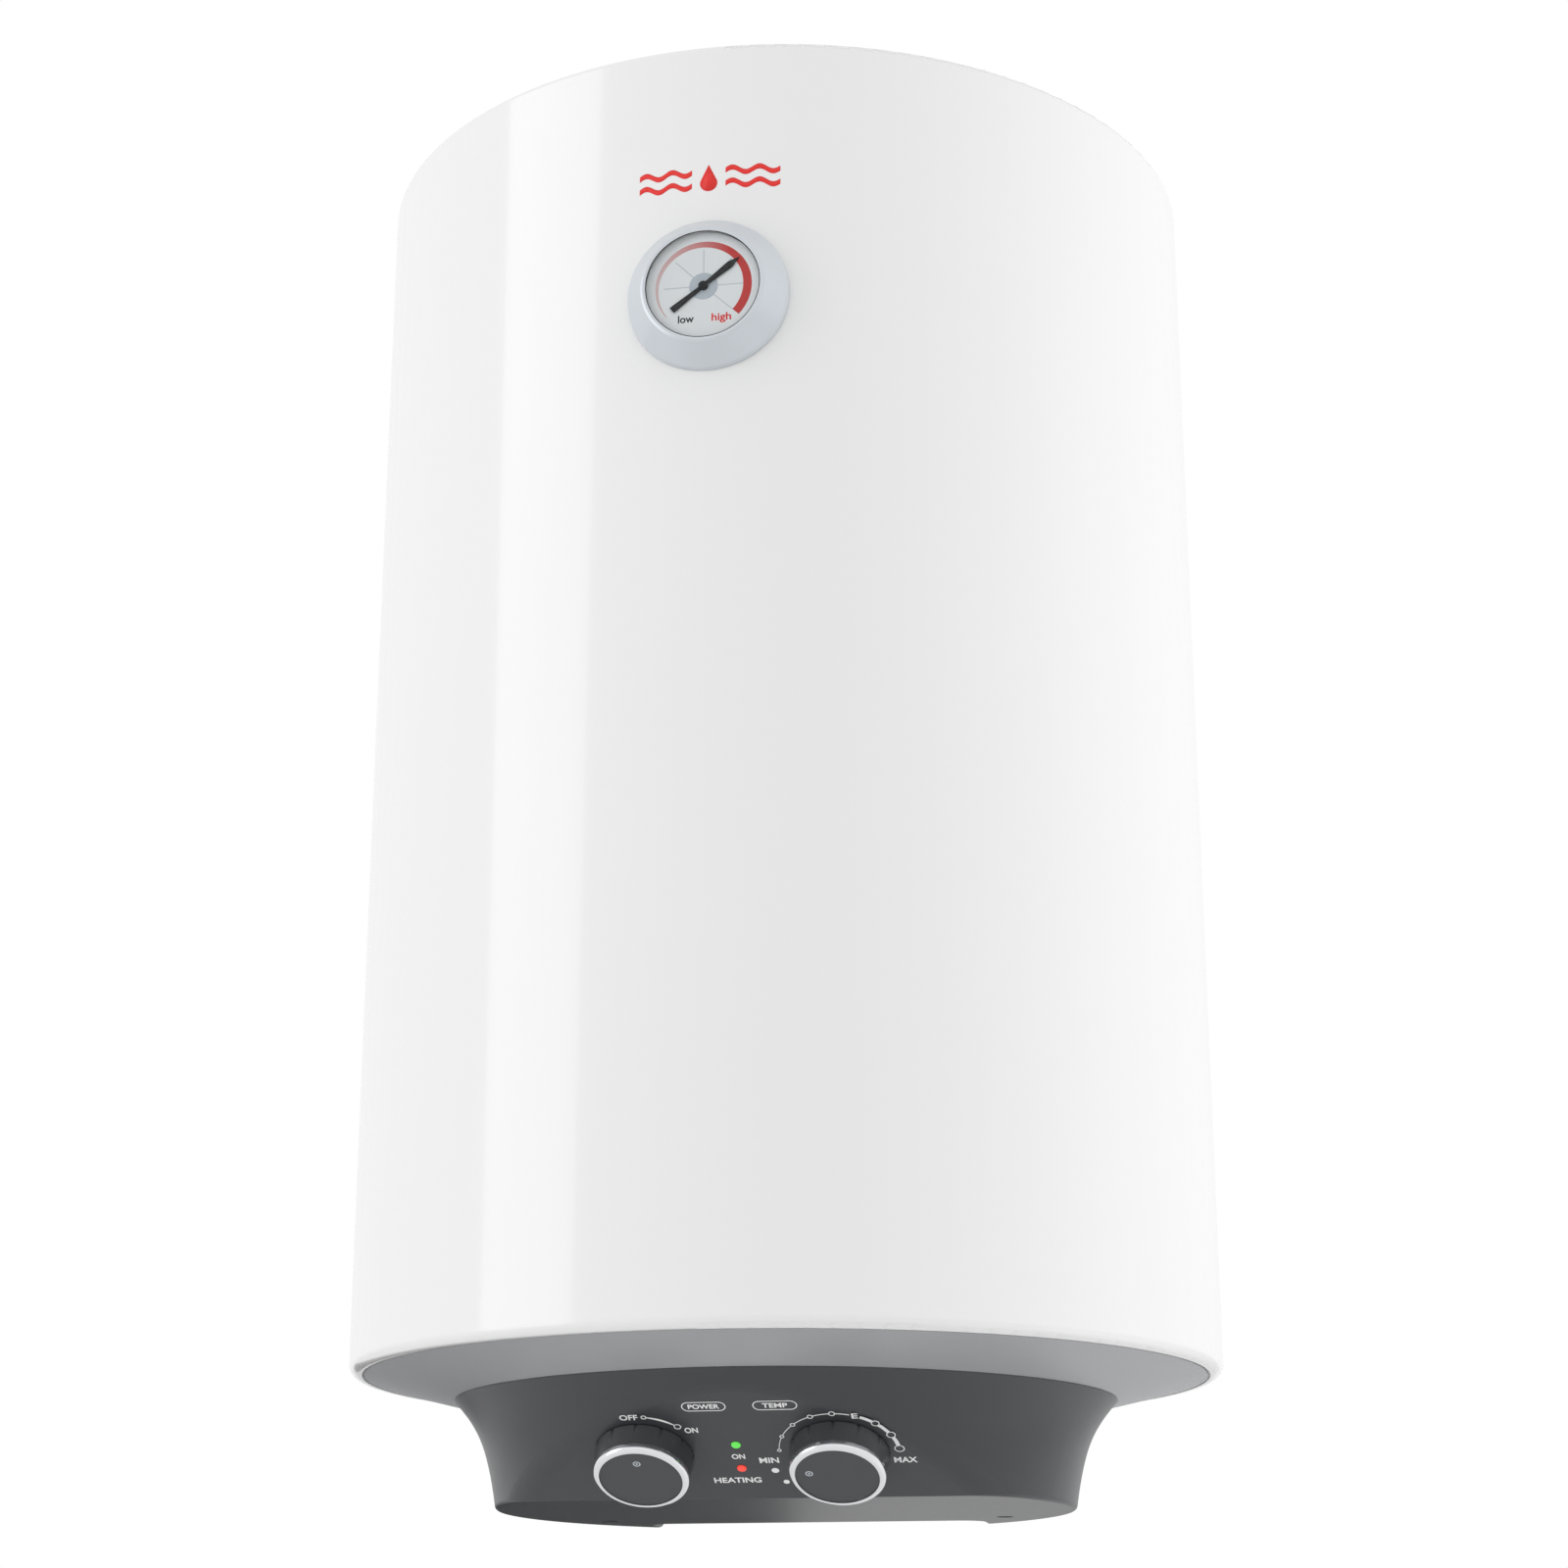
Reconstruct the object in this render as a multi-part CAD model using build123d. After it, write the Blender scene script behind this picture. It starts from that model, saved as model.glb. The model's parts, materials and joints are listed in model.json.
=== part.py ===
from build123d import *
import os
from math import acos, degrees, radians, sqrt, tan

# Wall-hung upright electric storage water heater, 50-litre class, as separate pieces.
# Everything is modelled on the tank's axis: Z is that axis, z = 0 is the jacket's lower edge and
# the front faces -Y. Each piece is then moved so that the origin is the middle of the hanger's
# two slots, on the wall's face.

# ---- Driving dimensions, in millimetres ----
# Jacket
JACKET_R = 195.0
JACKET_H = 566.0
SHEET = 0.8
LOWER_ROLL, UPPER_ROLL = 4.5, 2.5
LIP_R = 189.2

# Lid and bottom cap
LID_R, LID_RIM, LID_CROWN, LID_WALL = 190.5, 1.6, 16.0, 2.5
CAP_R, CAP_WALL = 188.0, 2.5
CAP_FLAT_R, CAP_FLAT_Z = 147.0, -10.0
CAP_GROOVE = 2.4
SERVICE_R, SERVICE_EDGE = 112.0, 40.0
BOSS_R, BOSS_END = 5.0, -50.0
SCREW_X, SCREW_Y = 92.0, 52.0
SCREW_R, SCREW_TIP = 1.65, BOSS_END + 14.0
SCREW_HEAD_R, SCREW_HEAD, SCREW_SINK = 3.6, 2.5, 1.0

# Tank
TANK_R = 172.0
TANK_WALL = 2.0
DOME_DEPTH = 45.0
SHELL_BOTTOM, SHELL_TOP = 62.0, 500.0

# Wall fixing
WALL_GAP = 14.0
HANGER_Z = 420.0
HANGER_GAUGE, HANGER_HALF_HEIGHT = 3.0, 30.0
HANGER_MID, HANGER_STEP, HANGER_WING = 58.0, 66.0, 128.0
SLOT_SPACING, SLOT_R, SLOT_LENGTH = 200.0, 5.5, 26.0
POST_X, POST_R = 40.0, 8.0
POST_ROOT, POST_END = 140.0, JACKET_R + 5.0
BOLT_R, BOLT_LENGTH, BOLT_HEAD, BOLT_FLATS = 4.0, 28.0, 5.0, 13.0

# Heating flange
FLANGE_R, FLANGE_BORE, FLANGE_HOLE_R = 66.0, 46.0, 70.0
STUD_PITCH_R, STUD_COUNT, STUD_R = 56.0, 5, 4.0
PLATE_TOP, PLATE_BOTTOM = 7.0, 4.0
COLLAR_BOTTOM, COLLAR_TOP = 10.0, 22.0
GASKET_BORE = 41.0
NUT_HEIGHT = 6.5
LEG_X, LEG_Y = 20.0, -18.0
ELEMENT_R, ELEMENT_FOOT, ELEMENT_TOP = 4.2, -8.0, 250.0
TAB_TOP, TAB_END = -13.0, -22.0
ANODE_X, ANODE_Y, ANODE_R = 22.0, 20.0, 11.0
ANODE_FOOT, ANODE_TOP, ANODE_STUD_R = 18.0, 235.0, 3.0
WELL_Y, WELL_R, WELL_BORE, WELL_TOP = 12.0, 6.5, 5.5, 240.0
BULB_X, BULB_R, BULB_FOOT, BULB_LENGTH = 2.6, 2.3, 20.0, 90.0
EARTH_X, EARTH_Y, EARTH_R = -28.0, 18.0, 2.5

# Water pipes
PIPE_X, PIPE_Y = 50.0, 100.0
PIPE_R, PIPE_BORE = 10.65, 8.0
THREAD_R, THREAD_TOP = 10.48, -24.0
PIPE_END, PIPE_TOP = -44.0, 46.0
DIFFUSER_R, DIFFUSER_LOW, DIFFUSER_HIGH = 13.5, 38.0, 60.0
DIP_BORE, DIP_LOW, DIP_HIGH = 6.6, 10.0, 515.0
PIPE_COLLAR_R, PIPE_COLLAR_H = 18.0, 6.0

# Control cover: the flare's outline from its top edge down, as (radius, height)
FLARE = [(148, -10), (142.4, -16.5), (137, -25), (132.7, -36.7), (129.9, -49.4), (128.7, -57)]
COVER_BOTTOM, COVER_WALL, COVER_EDGE = -57.0, 2.5, 2.0
PANEL_TOP_Y, PANEL_TOP_Z = -141.0, -18.0
PANEL_FOOT_Y, PANEL_BLEND = -80.0, 14.0
NOTCH_HALF, NOTCH_Y, NOTCH_ROUND = 78.0, 76.0, 10.0
GLAND_Z, GLAND_R, GLAND_BORE, GLAND_NUT_R = -34.0, 7.8, 4.5, 10.5

# Knobs, on the panel: heights are measured out from its face
KNOB_X, KNOB_DOWN, KNOB_R = 41.0, 42.0, 20.0
SKIRT_LOW, SKIRT_HIGH, SKIRT_FLARE = 0.5, 9.0, 0.7
FLUTE_COUNT, FLUTE_R = 12, 0.8
RING_TOP, RING_WALL, RING_ROUND = 12.6, 2.6, 1.9
FACE_LOW, FACE_TOP = 10.3, 12.0
SPINDLE_R, SPINDLE_LOW, SPINDLE_HIGH = 3.0, -12.0, 8.7

# Behind the panel: depths are measured in from its face
CONTROL_DEPTH, CONTROL_HALF = 22.0, 13.0
SWITCH_HALF_X, THERMOSTAT_HALF_X = 15.0, 16.0
BUSHING_R, BUSHING = 7.0, 2.5
LAMP_X, LAMP_R = -1.5, 2.0
GREEN_DOWN, RED_DOWN = 36.2, 51.7
BOARD_DOWN, BOARD_HALF_X, BOARD_HALF_Y = 44.0, 11.0, 12.0
BOARD_DEPTH, BOARD_WALL = 7.0, 1.6
CUTOUT_X, CUTOUT_Y = -68.0, 57.0
CUTOUT_HALF_X, CUTOUT_HALF_Y, CUTOUT_LOW = 14.0, 13.0, -34.0
BUTTON_R, BUTTON_LOW, BUTTON_HIGH = 3.5, -38.0, -29.0
POLE_X, POLE_Y, POLE_LOW = 20.0, 59.0, -26.0
BLOCK_HALF_X, BLOCK_FRONT, BLOCK_BACK = 30.0, 46.0, 64.0
LEAD_R, ELEMENT_LEAD_R, CAPILLARY_R = 1.4, 1.2, 0.9

# Thermometer: heights are measured out from the jacket's front
GAUGE_Z = 443.0
BEZEL_R, DIAL_R, CASE_R = 35.5, 25.2, 26.6
CASE_BACK, CASE_FRONT, CASE_WALL = -16.0, 10.3, 1.0
DIAL_LOW, DIAL_HIGH = 8.2, 9.0
NEEDLE_LOW, NEEDLE_THICK, NEEDLE_ANGLE = 9.5, 0.4, 52.0
ARBOR_R, ARBOR_FOOT, HUB_R = 1.0, -8.0, 2.1
LENS_LOW, LENS_HIGH = 10.4, 11.4
STEM_R = 2.5

# Clearances, and how far a cutting tool runs past a face
RUNNING = 0.05
CLEAR = 0.3
SNUG = 0.1
PAST = 5.0

# ---- Frames ----
AXIS_Y = -(JACKET_R + WALL_GAP)
ROW = Pos(0, AXIS_Y, -HANGER_Z)
PANEL_HEAD = Vector(0, PANEL_TOP_Y, PANEL_TOP_Z)
DOWN_SLOPE = (Vector(0, PANEL_FOOT_Y, COVER_BOTTOM) - PANEL_HEAD).normalized()
PANEL_OUT = DOWN_SLOPE.cross(Vector(1, 0, 0)).normalized()
PANEL = Plane(origin=PANEL_HEAD, x_dir=(1, 0, 0), z_dir=PANEL_OUT)
GAUGE = Plane(origin=(0, -JACKET_R, GAUGE_Z), x_dir=(1, 0, 0), z_dir=(0, -1, 0))
FROM_BASE = (Align.CENTER, Align.CENTER, Align.MIN)


# ---- Plain shapes ----
def rod(radius, low, high, x=0.0, y=0.0):
    """A round bar along Z, from low to high."""
    return Pos(x, y, low) * Cylinder(radius, high - low, align=FROM_BASE)


def tube(outer, inner, low, high, x=0.0, y=0.0):
    """A round tube along Z."""
    return rod(outer, low, high, x, y) - rod(inner, low - PAST, high + PAST, x, y)


def block(xs, ys, zs):
    """A box from its low and high limits on each axis."""
    sizes = [high - low for low, high in (xs, ys, zs)]
    return Pos(xs[0], ys[0], zs[0]) * Box(*sizes, align=(Align.MIN,) * 3)


def turned(*points):
    """A solid of revolution about Z from its (radius, height) outline."""
    return revolve(Plane.XZ * make_face(Polyline(*points, close=True)), Axis.Z)


def spun(*curves):
    """A solid of revolution about Z from curves that close an outline of (radius, height)."""
    edges = [edge for curve in curves for edge in curve.edges()]
    return revolve(Plane.XZ * make_face(Wire(edges)), Axis.Z)


def ellipsoid_half(radius, depth, level, upward):
    """Half an oblate ellipsoid about Z, with its widest section at level."""
    arc = EllipticalCenterArc((0, 0), radius, depth, -90, arc_size=90)
    bowl = spun(arc, Line((0, -depth), (0, 0)), Line((0, 0), (radius, 0)))
    return Pos(0, 0, level) * Rot(180 if upward else 0, 0, 0) * bowl


def hex_nut(across_flats, hole, low, high, x=0.0, y=0.0):
    """A hexagon nut along Z."""
    face = RegularPolygon(across_flats / 2, 6, major_radius=False) - Circle(hole)
    return Pos(x, y, low) * extrude(face, high - low)


def hex_bolt(across_flats, head, shank_r, shank):
    """A bolt along +Z whose shank starts at z = 0, with its head below."""
    hexagon = RegularPolygon(across_flats / 2, 6, major_radius=False)
    return Pos(0, 0, -head) * extrude(hexagon, head) + rod(shank_r, 0, shank)


def bent_tube(radius, points):
    """A round wire along straight runs joined by arcs as large as the runs allow."""
    stations = [Vector(*p) for p in points]
    radii = []
    for before, at, after in zip(stations, stations[1:], stations[2:]):
        run_in, run_out = at - before, after - at
        half_turn = run_in.get_angle(run_out) / 2
        shorter = min(run_in.length, run_out.length)
        radii.append(0.45 * shorter / tan(radians(half_turn)))
    path = FilletPolyline(*stations, radius=radii)
    print("wire radius", radius, "bends", [round(r, 1) for r in radii])
    return sweep(Plane(origin=path @ 0, z_dir=path % 0) * Circle(radius), path=path)


def around(count, pitch_r, start=90.0):
    """Points evenly spaced on a circle about the axis."""
    ring = [Vector(pitch_r, 0, 0).rotate(Axis.Z, start + i * 360 / count) for i in range(count)]
    return [(p.X, p.Y) for p in ring]


def save(name, shape):
    """Moves a piece to the wall frame and writes it."""
    pieces = shape if isinstance(shape, list) else [shape]
    solids = [ROW * solid for piece in pieces for solid in piece.solids()]
    export_step(solids[0] if len(solids) == 1 else Compound(solids), f"parts/{name}.step")


# ---- Casing ----
def rolled_drum(inset):
    """The jacket's outline as a full drum, moved inwards by inset."""
    radius, low, high = JACKET_R - inset, inset, JACKET_H - inset
    drum = rod(radius, low, high)
    rims = drum.edges().filter_by(GeomType.CIRCLE).sort_by(Axis.Z)
    drum = fillet(rims[:1], LOWER_ROLL - inset)
    rims = drum.edges().filter_by(GeomType.CIRCLE).sort_by(Axis.Z)
    return fillet(rims[-1:], UPPER_ROLL - inset)


def post_spots():
    """Where the two posts between the tank and the hanger stand, as (x, z)."""
    return [(x, HANGER_Z) for x in (-POST_X, POST_X)]


def backward(spot, y):
    """A frame at (x, z) = spot whose Z runs towards the wall, from y."""
    return Pos(spot[0], y, spot[1]) * Rot(-90, 0, 0)


def outer_jacket():
    """Sheet steel cylinder with both edges rolled in."""
    sheet = rolled_drum(0) - rolled_drum(SHEET)
    sheet -= rod(LIP_R, -PAST, JACKET_H / 2)
    sheet -= rod(LIP_R - 2, JACKET_H / 2, JACKET_H + PAST)
    sheet -= GAUGE * rod(CASE_R + CLEAR, CASE_BACK, PAST)
    for spot in post_spots():
        sheet -= backward(spot, POST_ROOT) * rod(POST_R + CLEAR, 0, POST_END - POST_ROOT)
    return sheet


def crown_arc(radius, edge_z, crown_z):
    """Arc of a sphere centred on the axis, from its edge up to its crown."""
    rise = crown_z - edge_z
    sphere = (radius ** 2 + rise ** 2) / (2 * rise)
    middle = crown_z - sphere + sqrt(sphere ** 2 - (radius / 2) ** 2)
    return ThreePointArc((radius, edge_z), (radius / 2, middle), (0, crown_z))


def top_cap():
    """Shallow domed lid whose plug sits inside the jacket's rolled edge."""
    plug, skirt, top = LIP_R - 2.6, 6.0, JACKET_H
    bore, peak = plug - LID_WALL, top + LID_CROWN
    outer = crown_arc(LID_R, top + LID_RIM, peak)
    inner = crown_arc(bore, top - 1, peak - LID_WALL)
    middle = Line((0, peak), (0, peak - LID_WALL))
    foot = [(bore, top - 1), (bore, top - skirt), (plug, top - skirt), (plug, top), (LID_R, top)]
    return spun(outer, middle, inner, Polyline(*foot, (LID_R, top + LID_RIM)))


def bottom_cap():
    """Dished plastic cap under the jacket, open in the middle for the heating flange."""
    lip, low = SHEET, CAP_FLAT_Z
    ledge = LIP_R + 1.2
    dish = turned(
        (0, low),
        (CAP_FLAT_R, low),
        (CAP_R, 0),
        (CAP_R, lip),
        (ledge, lip),
        (ledge, lip + CAP_GROOVE),
        (CAP_R - 1, lip + CAP_GROOVE),
        (CAP_FLAT_R, low + CAP_WALL),
        (0, low + CAP_WALL),
    )
    wide = (-JACKET_R, JACKET_R)
    service = block(wide, (-JACKET_R, SERVICE_EDGE), (low - PAST, low + 2 * PAST))
    dish -= rod(SERVICE_R, low - PAST, low + 2 * PAST) & service
    dish -= rod(FLANGE_HOLE_R, low - PAST, low + 2 * PAST)
    for x in (-PIPE_X, PIPE_X):
        dish -= rod(PIPE_R + CLEAR, low - PAST, low + 2 * PAST, x, PIPE_Y)
    for x, y in screw_spots():
        dish += rod(BOSS_R, BOSS_END, low, x, y)
        dish -= rod(SCREW_R + RUNNING, BOSS_END - PAST, SCREW_TIP + 2, x, y)
    return dish


def screw_spots():
    """Where the two cover screws go."""
    return [(x, SCREW_Y) for x in (-SCREW_X, SCREW_X)]


# ---- Tank ----
def dome(upward, level):
    """Pressed tank end, an elliptical shell."""
    outer = ellipsoid_half(TANK_R, DOME_DEPTH, level, upward)
    return outer - ellipsoid_half(TANK_R - TANK_WALL, DOME_DEPTH - TANK_WALL, level, upward)


def tank_bottom_dome():
    """Lower tank end, pierced for the flange and both pipes."""
    shell = dome(False, SHELL_BOTTOM) - rod(FLANGE_BORE, 0, SHELL_BOTTOM)
    for x in (-PIPE_X, PIPE_X):
        shell -= rod(PIPE_R + SNUG, 0, SHELL_BOTTOM, x, PIPE_Y)
    return shell


def tank_posts():
    """Two posts welded to the tank, which carry the hanger."""
    posts = []
    bolt_hole = rod(BOLT_R + RUNNING, 0, BOLT_LENGTH + PAST)
    for x, z in post_spots():
        post = backward((x, z), POST_ROOT) * rod(POST_R, 0, POST_END - POST_ROOT)
        post -= backward((x, z), POST_END - BOLT_LENGTH) * bolt_hole
        posts.append(post - rod(TANK_R + SNUG, z - 2 * POST_R, z + 2 * POST_R))
    return posts


def foam_insulation():
    """Foamed-in-place insulation between the tank and the casing."""
    gap, hole = 0.4, FLANGE_HOLE_R
    side, radius, depth = JACKET_R - SHEET - gap, TANK_R + gap, DOME_DEPTH + gap
    floor, roof = CAP_FLAT_Z + CAP_WALL + 1, JACKET_H - 6
    swing = degrees(acos(hole / radius))
    lower = EllipticalCenterArc((0, SHELL_BOTTOM), radius, depth, -swing, arc_size=swing)
    upper = EllipticalCenterArc((0, SHELL_TOP), radius, depth, 90, arc_size=-90)
    wall = Line((radius, SHELL_BOTTOM), (radius, SHELL_TOP))
    foot = [(hole, floor), (CAP_FLAT_R, floor), (CAP_R - 1, LOWER_ROLL), (side, LOWER_ROLL + 3)]
    head = [(side, roof), (LIP_R - 8, roof), (0, JACKET_H + 10)]
    rest = Polyline(lower @ 0, *foot, *head, upper @ 0)
    foam = spun(lower, wall, upper, rest)
    for x in (-PIPE_X, PIPE_X):
        foam -= rod(PIPE_R + 2 * SNUG, CAP_FLAT_Z, SHELL_BOTTOM, x, PIPE_Y)
    for spot in post_spots():
        foam -= backward(spot, POST_ROOT) * rod(POST_R + 2 * SNUG, 0, POST_END - POST_ROOT)
    return foam - GAUGE * rod(CASE_R + CLEAR, -2 * CASE_R, PAST)


# ---- Heating flange ----
def flange_collar():
    """Thick ring welded to the lower tank end."""
    ring = tube(FLANGE_R, FLANGE_BORE, COLLAR_BOTTOM, COLLAR_TOP)
    return ring - ellipsoid_half(TANK_R + SNUG, DOME_DEPTH + SNUG, SHELL_BOTTOM, False)


def flange_studs():
    """Studs welded under the collar."""
    spots = around(STUD_COUNT, STUD_PITCH_R)
    return [rod(STUD_R, ELEMENT_FOOT, COLLAR_BOTTOM, x, y) for x, y in spots]


def flange_gasket():
    """Lipped rubber ring between the collar and the plate."""
    ring = tube(FLANGE_R, GASKET_BORE, PLATE_TOP, COLLAR_BOTTOM)
    ring += tube(FLANGE_BORE - CLEAR, GASKET_BORE, PLATE_TOP, COLLAR_BOTTOM + PAST)
    for x, y in around(STUD_COUNT, STUD_PITCH_R):
        ring -= rod(STUD_R + CLEAR, 0, COLLAR_BOTTOM, x, y)
    return ring


def flange_plate():
    """Enamelled disc that closes the tank and carries the element, anode and pocket."""
    plate = rod(FLANGE_R, PLATE_BOTTOM, PLATE_TOP)
    holes = [(STUD_R + CLEAR, x, y) for x, y in around(STUD_COUNT, STUD_PITCH_R)]
    holes += [(ELEMENT_R + SNUG, x, LEG_Y) for x in (-LEG_X, LEG_X)]
    holes += [(WELL_R + SNUG, 0, WELL_Y), (ANODE_STUD_R + SNUG, ANODE_X, ANODE_Y)]
    for radius, x, y in holes:
        plate -= rod(radius, 0, COLLAR_BOTTOM, x, y)
    return plate


def flange_nuts():
    """Nuts that pull the plate up against the gasket."""
    spots = around(STUD_COUNT, STUD_PITCH_R)
    low, high = PLATE_BOTTOM - NUT_HEIGHT, PLATE_BOTTOM
    return [hex_nut(BOLT_FLATS, STUD_R + SNUG, low, high, x, y) for x, y in spots]


def heating_element():
    """Bent sheathed element: two legs joined by a half turn inside the tank."""
    low, high = ELEMENT_FOOT, ELEMENT_TOP
    legs = rod(ELEMENT_R, low, high, -LEG_X, LEG_Y) + rod(ELEMENT_R, low, high, LEG_X, LEG_Y)
    section = Pos(LEG_X, LEG_Y, high) * Circle(ELEMENT_R)
    axis = Axis((0, LEG_Y, high), (0, -1, 0))
    return legs + revolve(section, axis, 180)


def element_terminals():
    """Pin and flat tab under each leg of the element."""
    tabs, half_width, half_gauge, pin_r = [], 3.15, 0.4, 1.6
    for x in (-LEG_X, LEG_X):
        pin = rod(pin_r, TAB_TOP - 1, ELEMENT_FOOT, x, LEG_Y)
        across, through = (x - half_width, x + half_width), (LEG_Y - half_gauge, LEG_Y + half_gauge)
        tabs.append(pin + block(across, through, (TAB_END, TAB_TOP)))
    return tabs


def magnesium_anode():
    """Sacrificial rod beside the element."""
    return rod(ANODE_R, ANODE_FOOT, ANODE_TOP, ANODE_X, ANODE_Y)


def anode_stud():
    """Stud and nut that hold the anode on the plate."""
    stud = rod(ANODE_STUD_R, PLATE_BOTTOM - 8, ANODE_FOOT, ANODE_X, ANODE_Y)
    nut = hex_nut(10, ANODE_STUD_R + SNUG, PLATE_BOTTOM - 5, PLATE_BOTTOM, ANODE_X, ANODE_Y)
    return [stud, nut]


def thermowell():
    """Closed pocket tube for the two temperature bulbs."""
    pocket = rod(WELL_R, PLATE_BOTTOM - 3, WELL_TOP, 0, WELL_Y)
    return pocket - rod(WELL_BORE, -PAST, WELL_TOP - 1.5, 0, WELL_Y)


def earth_stud():
    """Earthing screw stud under the plate."""
    stud = rod(EARTH_R, ELEMENT_FOOT, PLATE_BOTTOM, EARTH_X, EARTH_Y)
    return [stud, hex_nut(8, EARTH_R + SNUG, -4, 0, EARTH_X, EARTH_Y)]


# ---- Water pipes ----
def water_pipe(x):
    """Half-inch pipe through the lower tank end, its foot cut for the thread."""
    pipe = tube(PIPE_R, PIPE_BORE, THREAD_TOP, PIPE_TOP, x, PIPE_Y)
    pipe += tube(THREAD_R, PIPE_BORE, PIPE_END, THREAD_TOP, x, PIPE_Y)
    mouths = pipe.edges().filter_by(GeomType.CIRCLE).group_by(Axis.Z)[0].sort_by(SortBy.RADIUS)
    return chamfer(mouths[-1], 0.8)


def inlet_diffuser():
    """Cap with side windows that keeps cold water low in the tank."""
    cap = rod(DIFFUSER_R, DIFFUSER_LOW, DIFFUSER_HIGH, PIPE_X, PIPE_Y)
    cap -= rod(PIPE_R + SNUG, DIFFUSER_LOW - PAST, DIFFUSER_HIGH - 2, PIPE_X, PIPE_Y)
    window = Box(3 * DIFFUSER_R, 12, 7)
    for turn in (0, 90):
        cap -= Pos(PIPE_X, PIPE_Y, PIPE_TOP + 6) * Rot(0, 0, turn) * window
    return cap


def hot_dip_tube():
    """Thin tube that draws hot water from the top of the tank."""
    return tube(PIPE_BORE - SNUG, DIP_BORE, DIP_LOW, DIP_HIGH, -PIPE_X, PIPE_Y)


def pipe_collar(x):
    """Coloured ring that marks a pipe."""
    low = CAP_FLAT_Z - PIPE_COLLAR_H
    ring = tube(PIPE_COLLAR_R, PIPE_R + 2 * SNUG, low, CAP_FLAT_Z, x, PIPE_Y)
    rim = ring.edges().filter_by(GeomType.CIRCLE).group_by(Axis.Z)[0].sort_by(SortBy.RADIUS)
    return fillet(rim[-1], 1.5)


# ---- Wall fixing ----
def hanger_bracket():
    """Pressed steel hanger: slotted wings on the wall, middle set back for the bolt heads."""
    wall, gauge, seat = -AXIS_Y, HANGER_GAUGE, POST_END
    inner = [(0, seat), (HANGER_MID, seat), (HANGER_STEP, wall - gauge), (HANGER_WING, wall - gauge)]
    outer = [(HANGER_WING, wall), (HANGER_STEP - 2, wall), (HANGER_MID - 2, seat + gauge)]
    outline = make_face(Polyline(*inner, *outer, (0, seat + gauge), close=True))
    outline += mirror(outline, Plane.YZ)
    plate = Pos(0, 0, HANGER_Z - HANGER_HALF_HEIGHT) * extrude(outline, 2 * HANGER_HALF_HEIGHT)
    corners = plate.edges().filter_by(Axis.Y).filter_by(lambda e: abs(e.center().X) > HANGER_WING - 1)
    plate = fillet(corners, 8)
    slot = extrude(SlotOverall(SLOT_LENGTH, 2 * SLOT_R), 4 * gauge)
    for x in (-SLOT_SPACING / 2, SLOT_SPACING / 2):
        plate -= backward((x, HANGER_Z), wall - 2 * gauge) * slot
    for spot in post_spots():
        plate -= backward(spot, seat - gauge) * rod(BOLT_R + CLEAR, 0, 4 * gauge)
    return plate


def bracket_bolts():
    """Bolts through the hanger into the tank posts."""
    bolt = Rot(180, 0, 0) * hex_bolt(BOLT_FLATS, BOLT_HEAD, BOLT_R, BOLT_LENGTH)
    return [backward(spot, POST_END + HANGER_GAUGE) * bolt for spot in post_spots()]


def lower_spacer():
    """Plastic pad that keeps the jacket's foot off the wall."""
    pad = block((-32, 32), (180, -AXIS_Y), (58, 88))
    pad = fillet(pad.edges().filter_by(Axis.Y), 5)
    return pad - rod(JACKET_R + SNUG, 0, JACKET_H)


# ---- Control cover ----
def panel_rim(form, inset):
    """Edges where the sloping panel cuts the flare, leaving out the straight foot of the panel."""
    base = PANEL_HEAD - PANEL_OUT * inset
    rim = []
    for edge in form.edges():
        spots = [edge @ share for share in (0.1, 0.5, 0.9)]
        in_plane = all(abs((spot - base).dot(PANEL_OUT)) < 0.01 for spot in spots)
        if in_plane and spots[1].Z > COVER_BOTTOM + inset + 1:
            rim.append(edge)
    return rim


def cover_form(inset):
    """The cover's outer form moved inwards by inset: flare, sloping panel and rear recess."""
    top, wide = CAP_FLAT_Z, 2 * JACKET_R
    points = [(radius - inset, z) for radius, z in FLARE]
    outline = Spline(*points) + Polyline(points[-1], (0, COVER_BOTTOM), (0, top), points[0])
    form = revolve(Plane.XZ * make_face(outline), Axis.Z)
    if inset:
        form -= block((-wide, wide), (-wide, wide), (COVER_BOTTOM - PAST, COVER_BOTTOM + inset))
    form -= PANEL * Pos(0, 0, -inset) * Box(wide, wide, wide, align=FROM_BASE)
    form = fillet(panel_rim(form, inset), PANEL_BLEND - inset)
    sides = (-NOTCH_HALF - inset, NOTCH_HALF + inset)
    recess = block(sides, (NOTCH_Y - inset, wide), (COVER_BOTTOM - PAST, top + PAST))
    corners = recess.edges().filter_by(Axis.Z).sort_by(Axis.Y)[:2]
    return form - fillet(corners, NOTCH_ROUND + inset)


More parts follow.
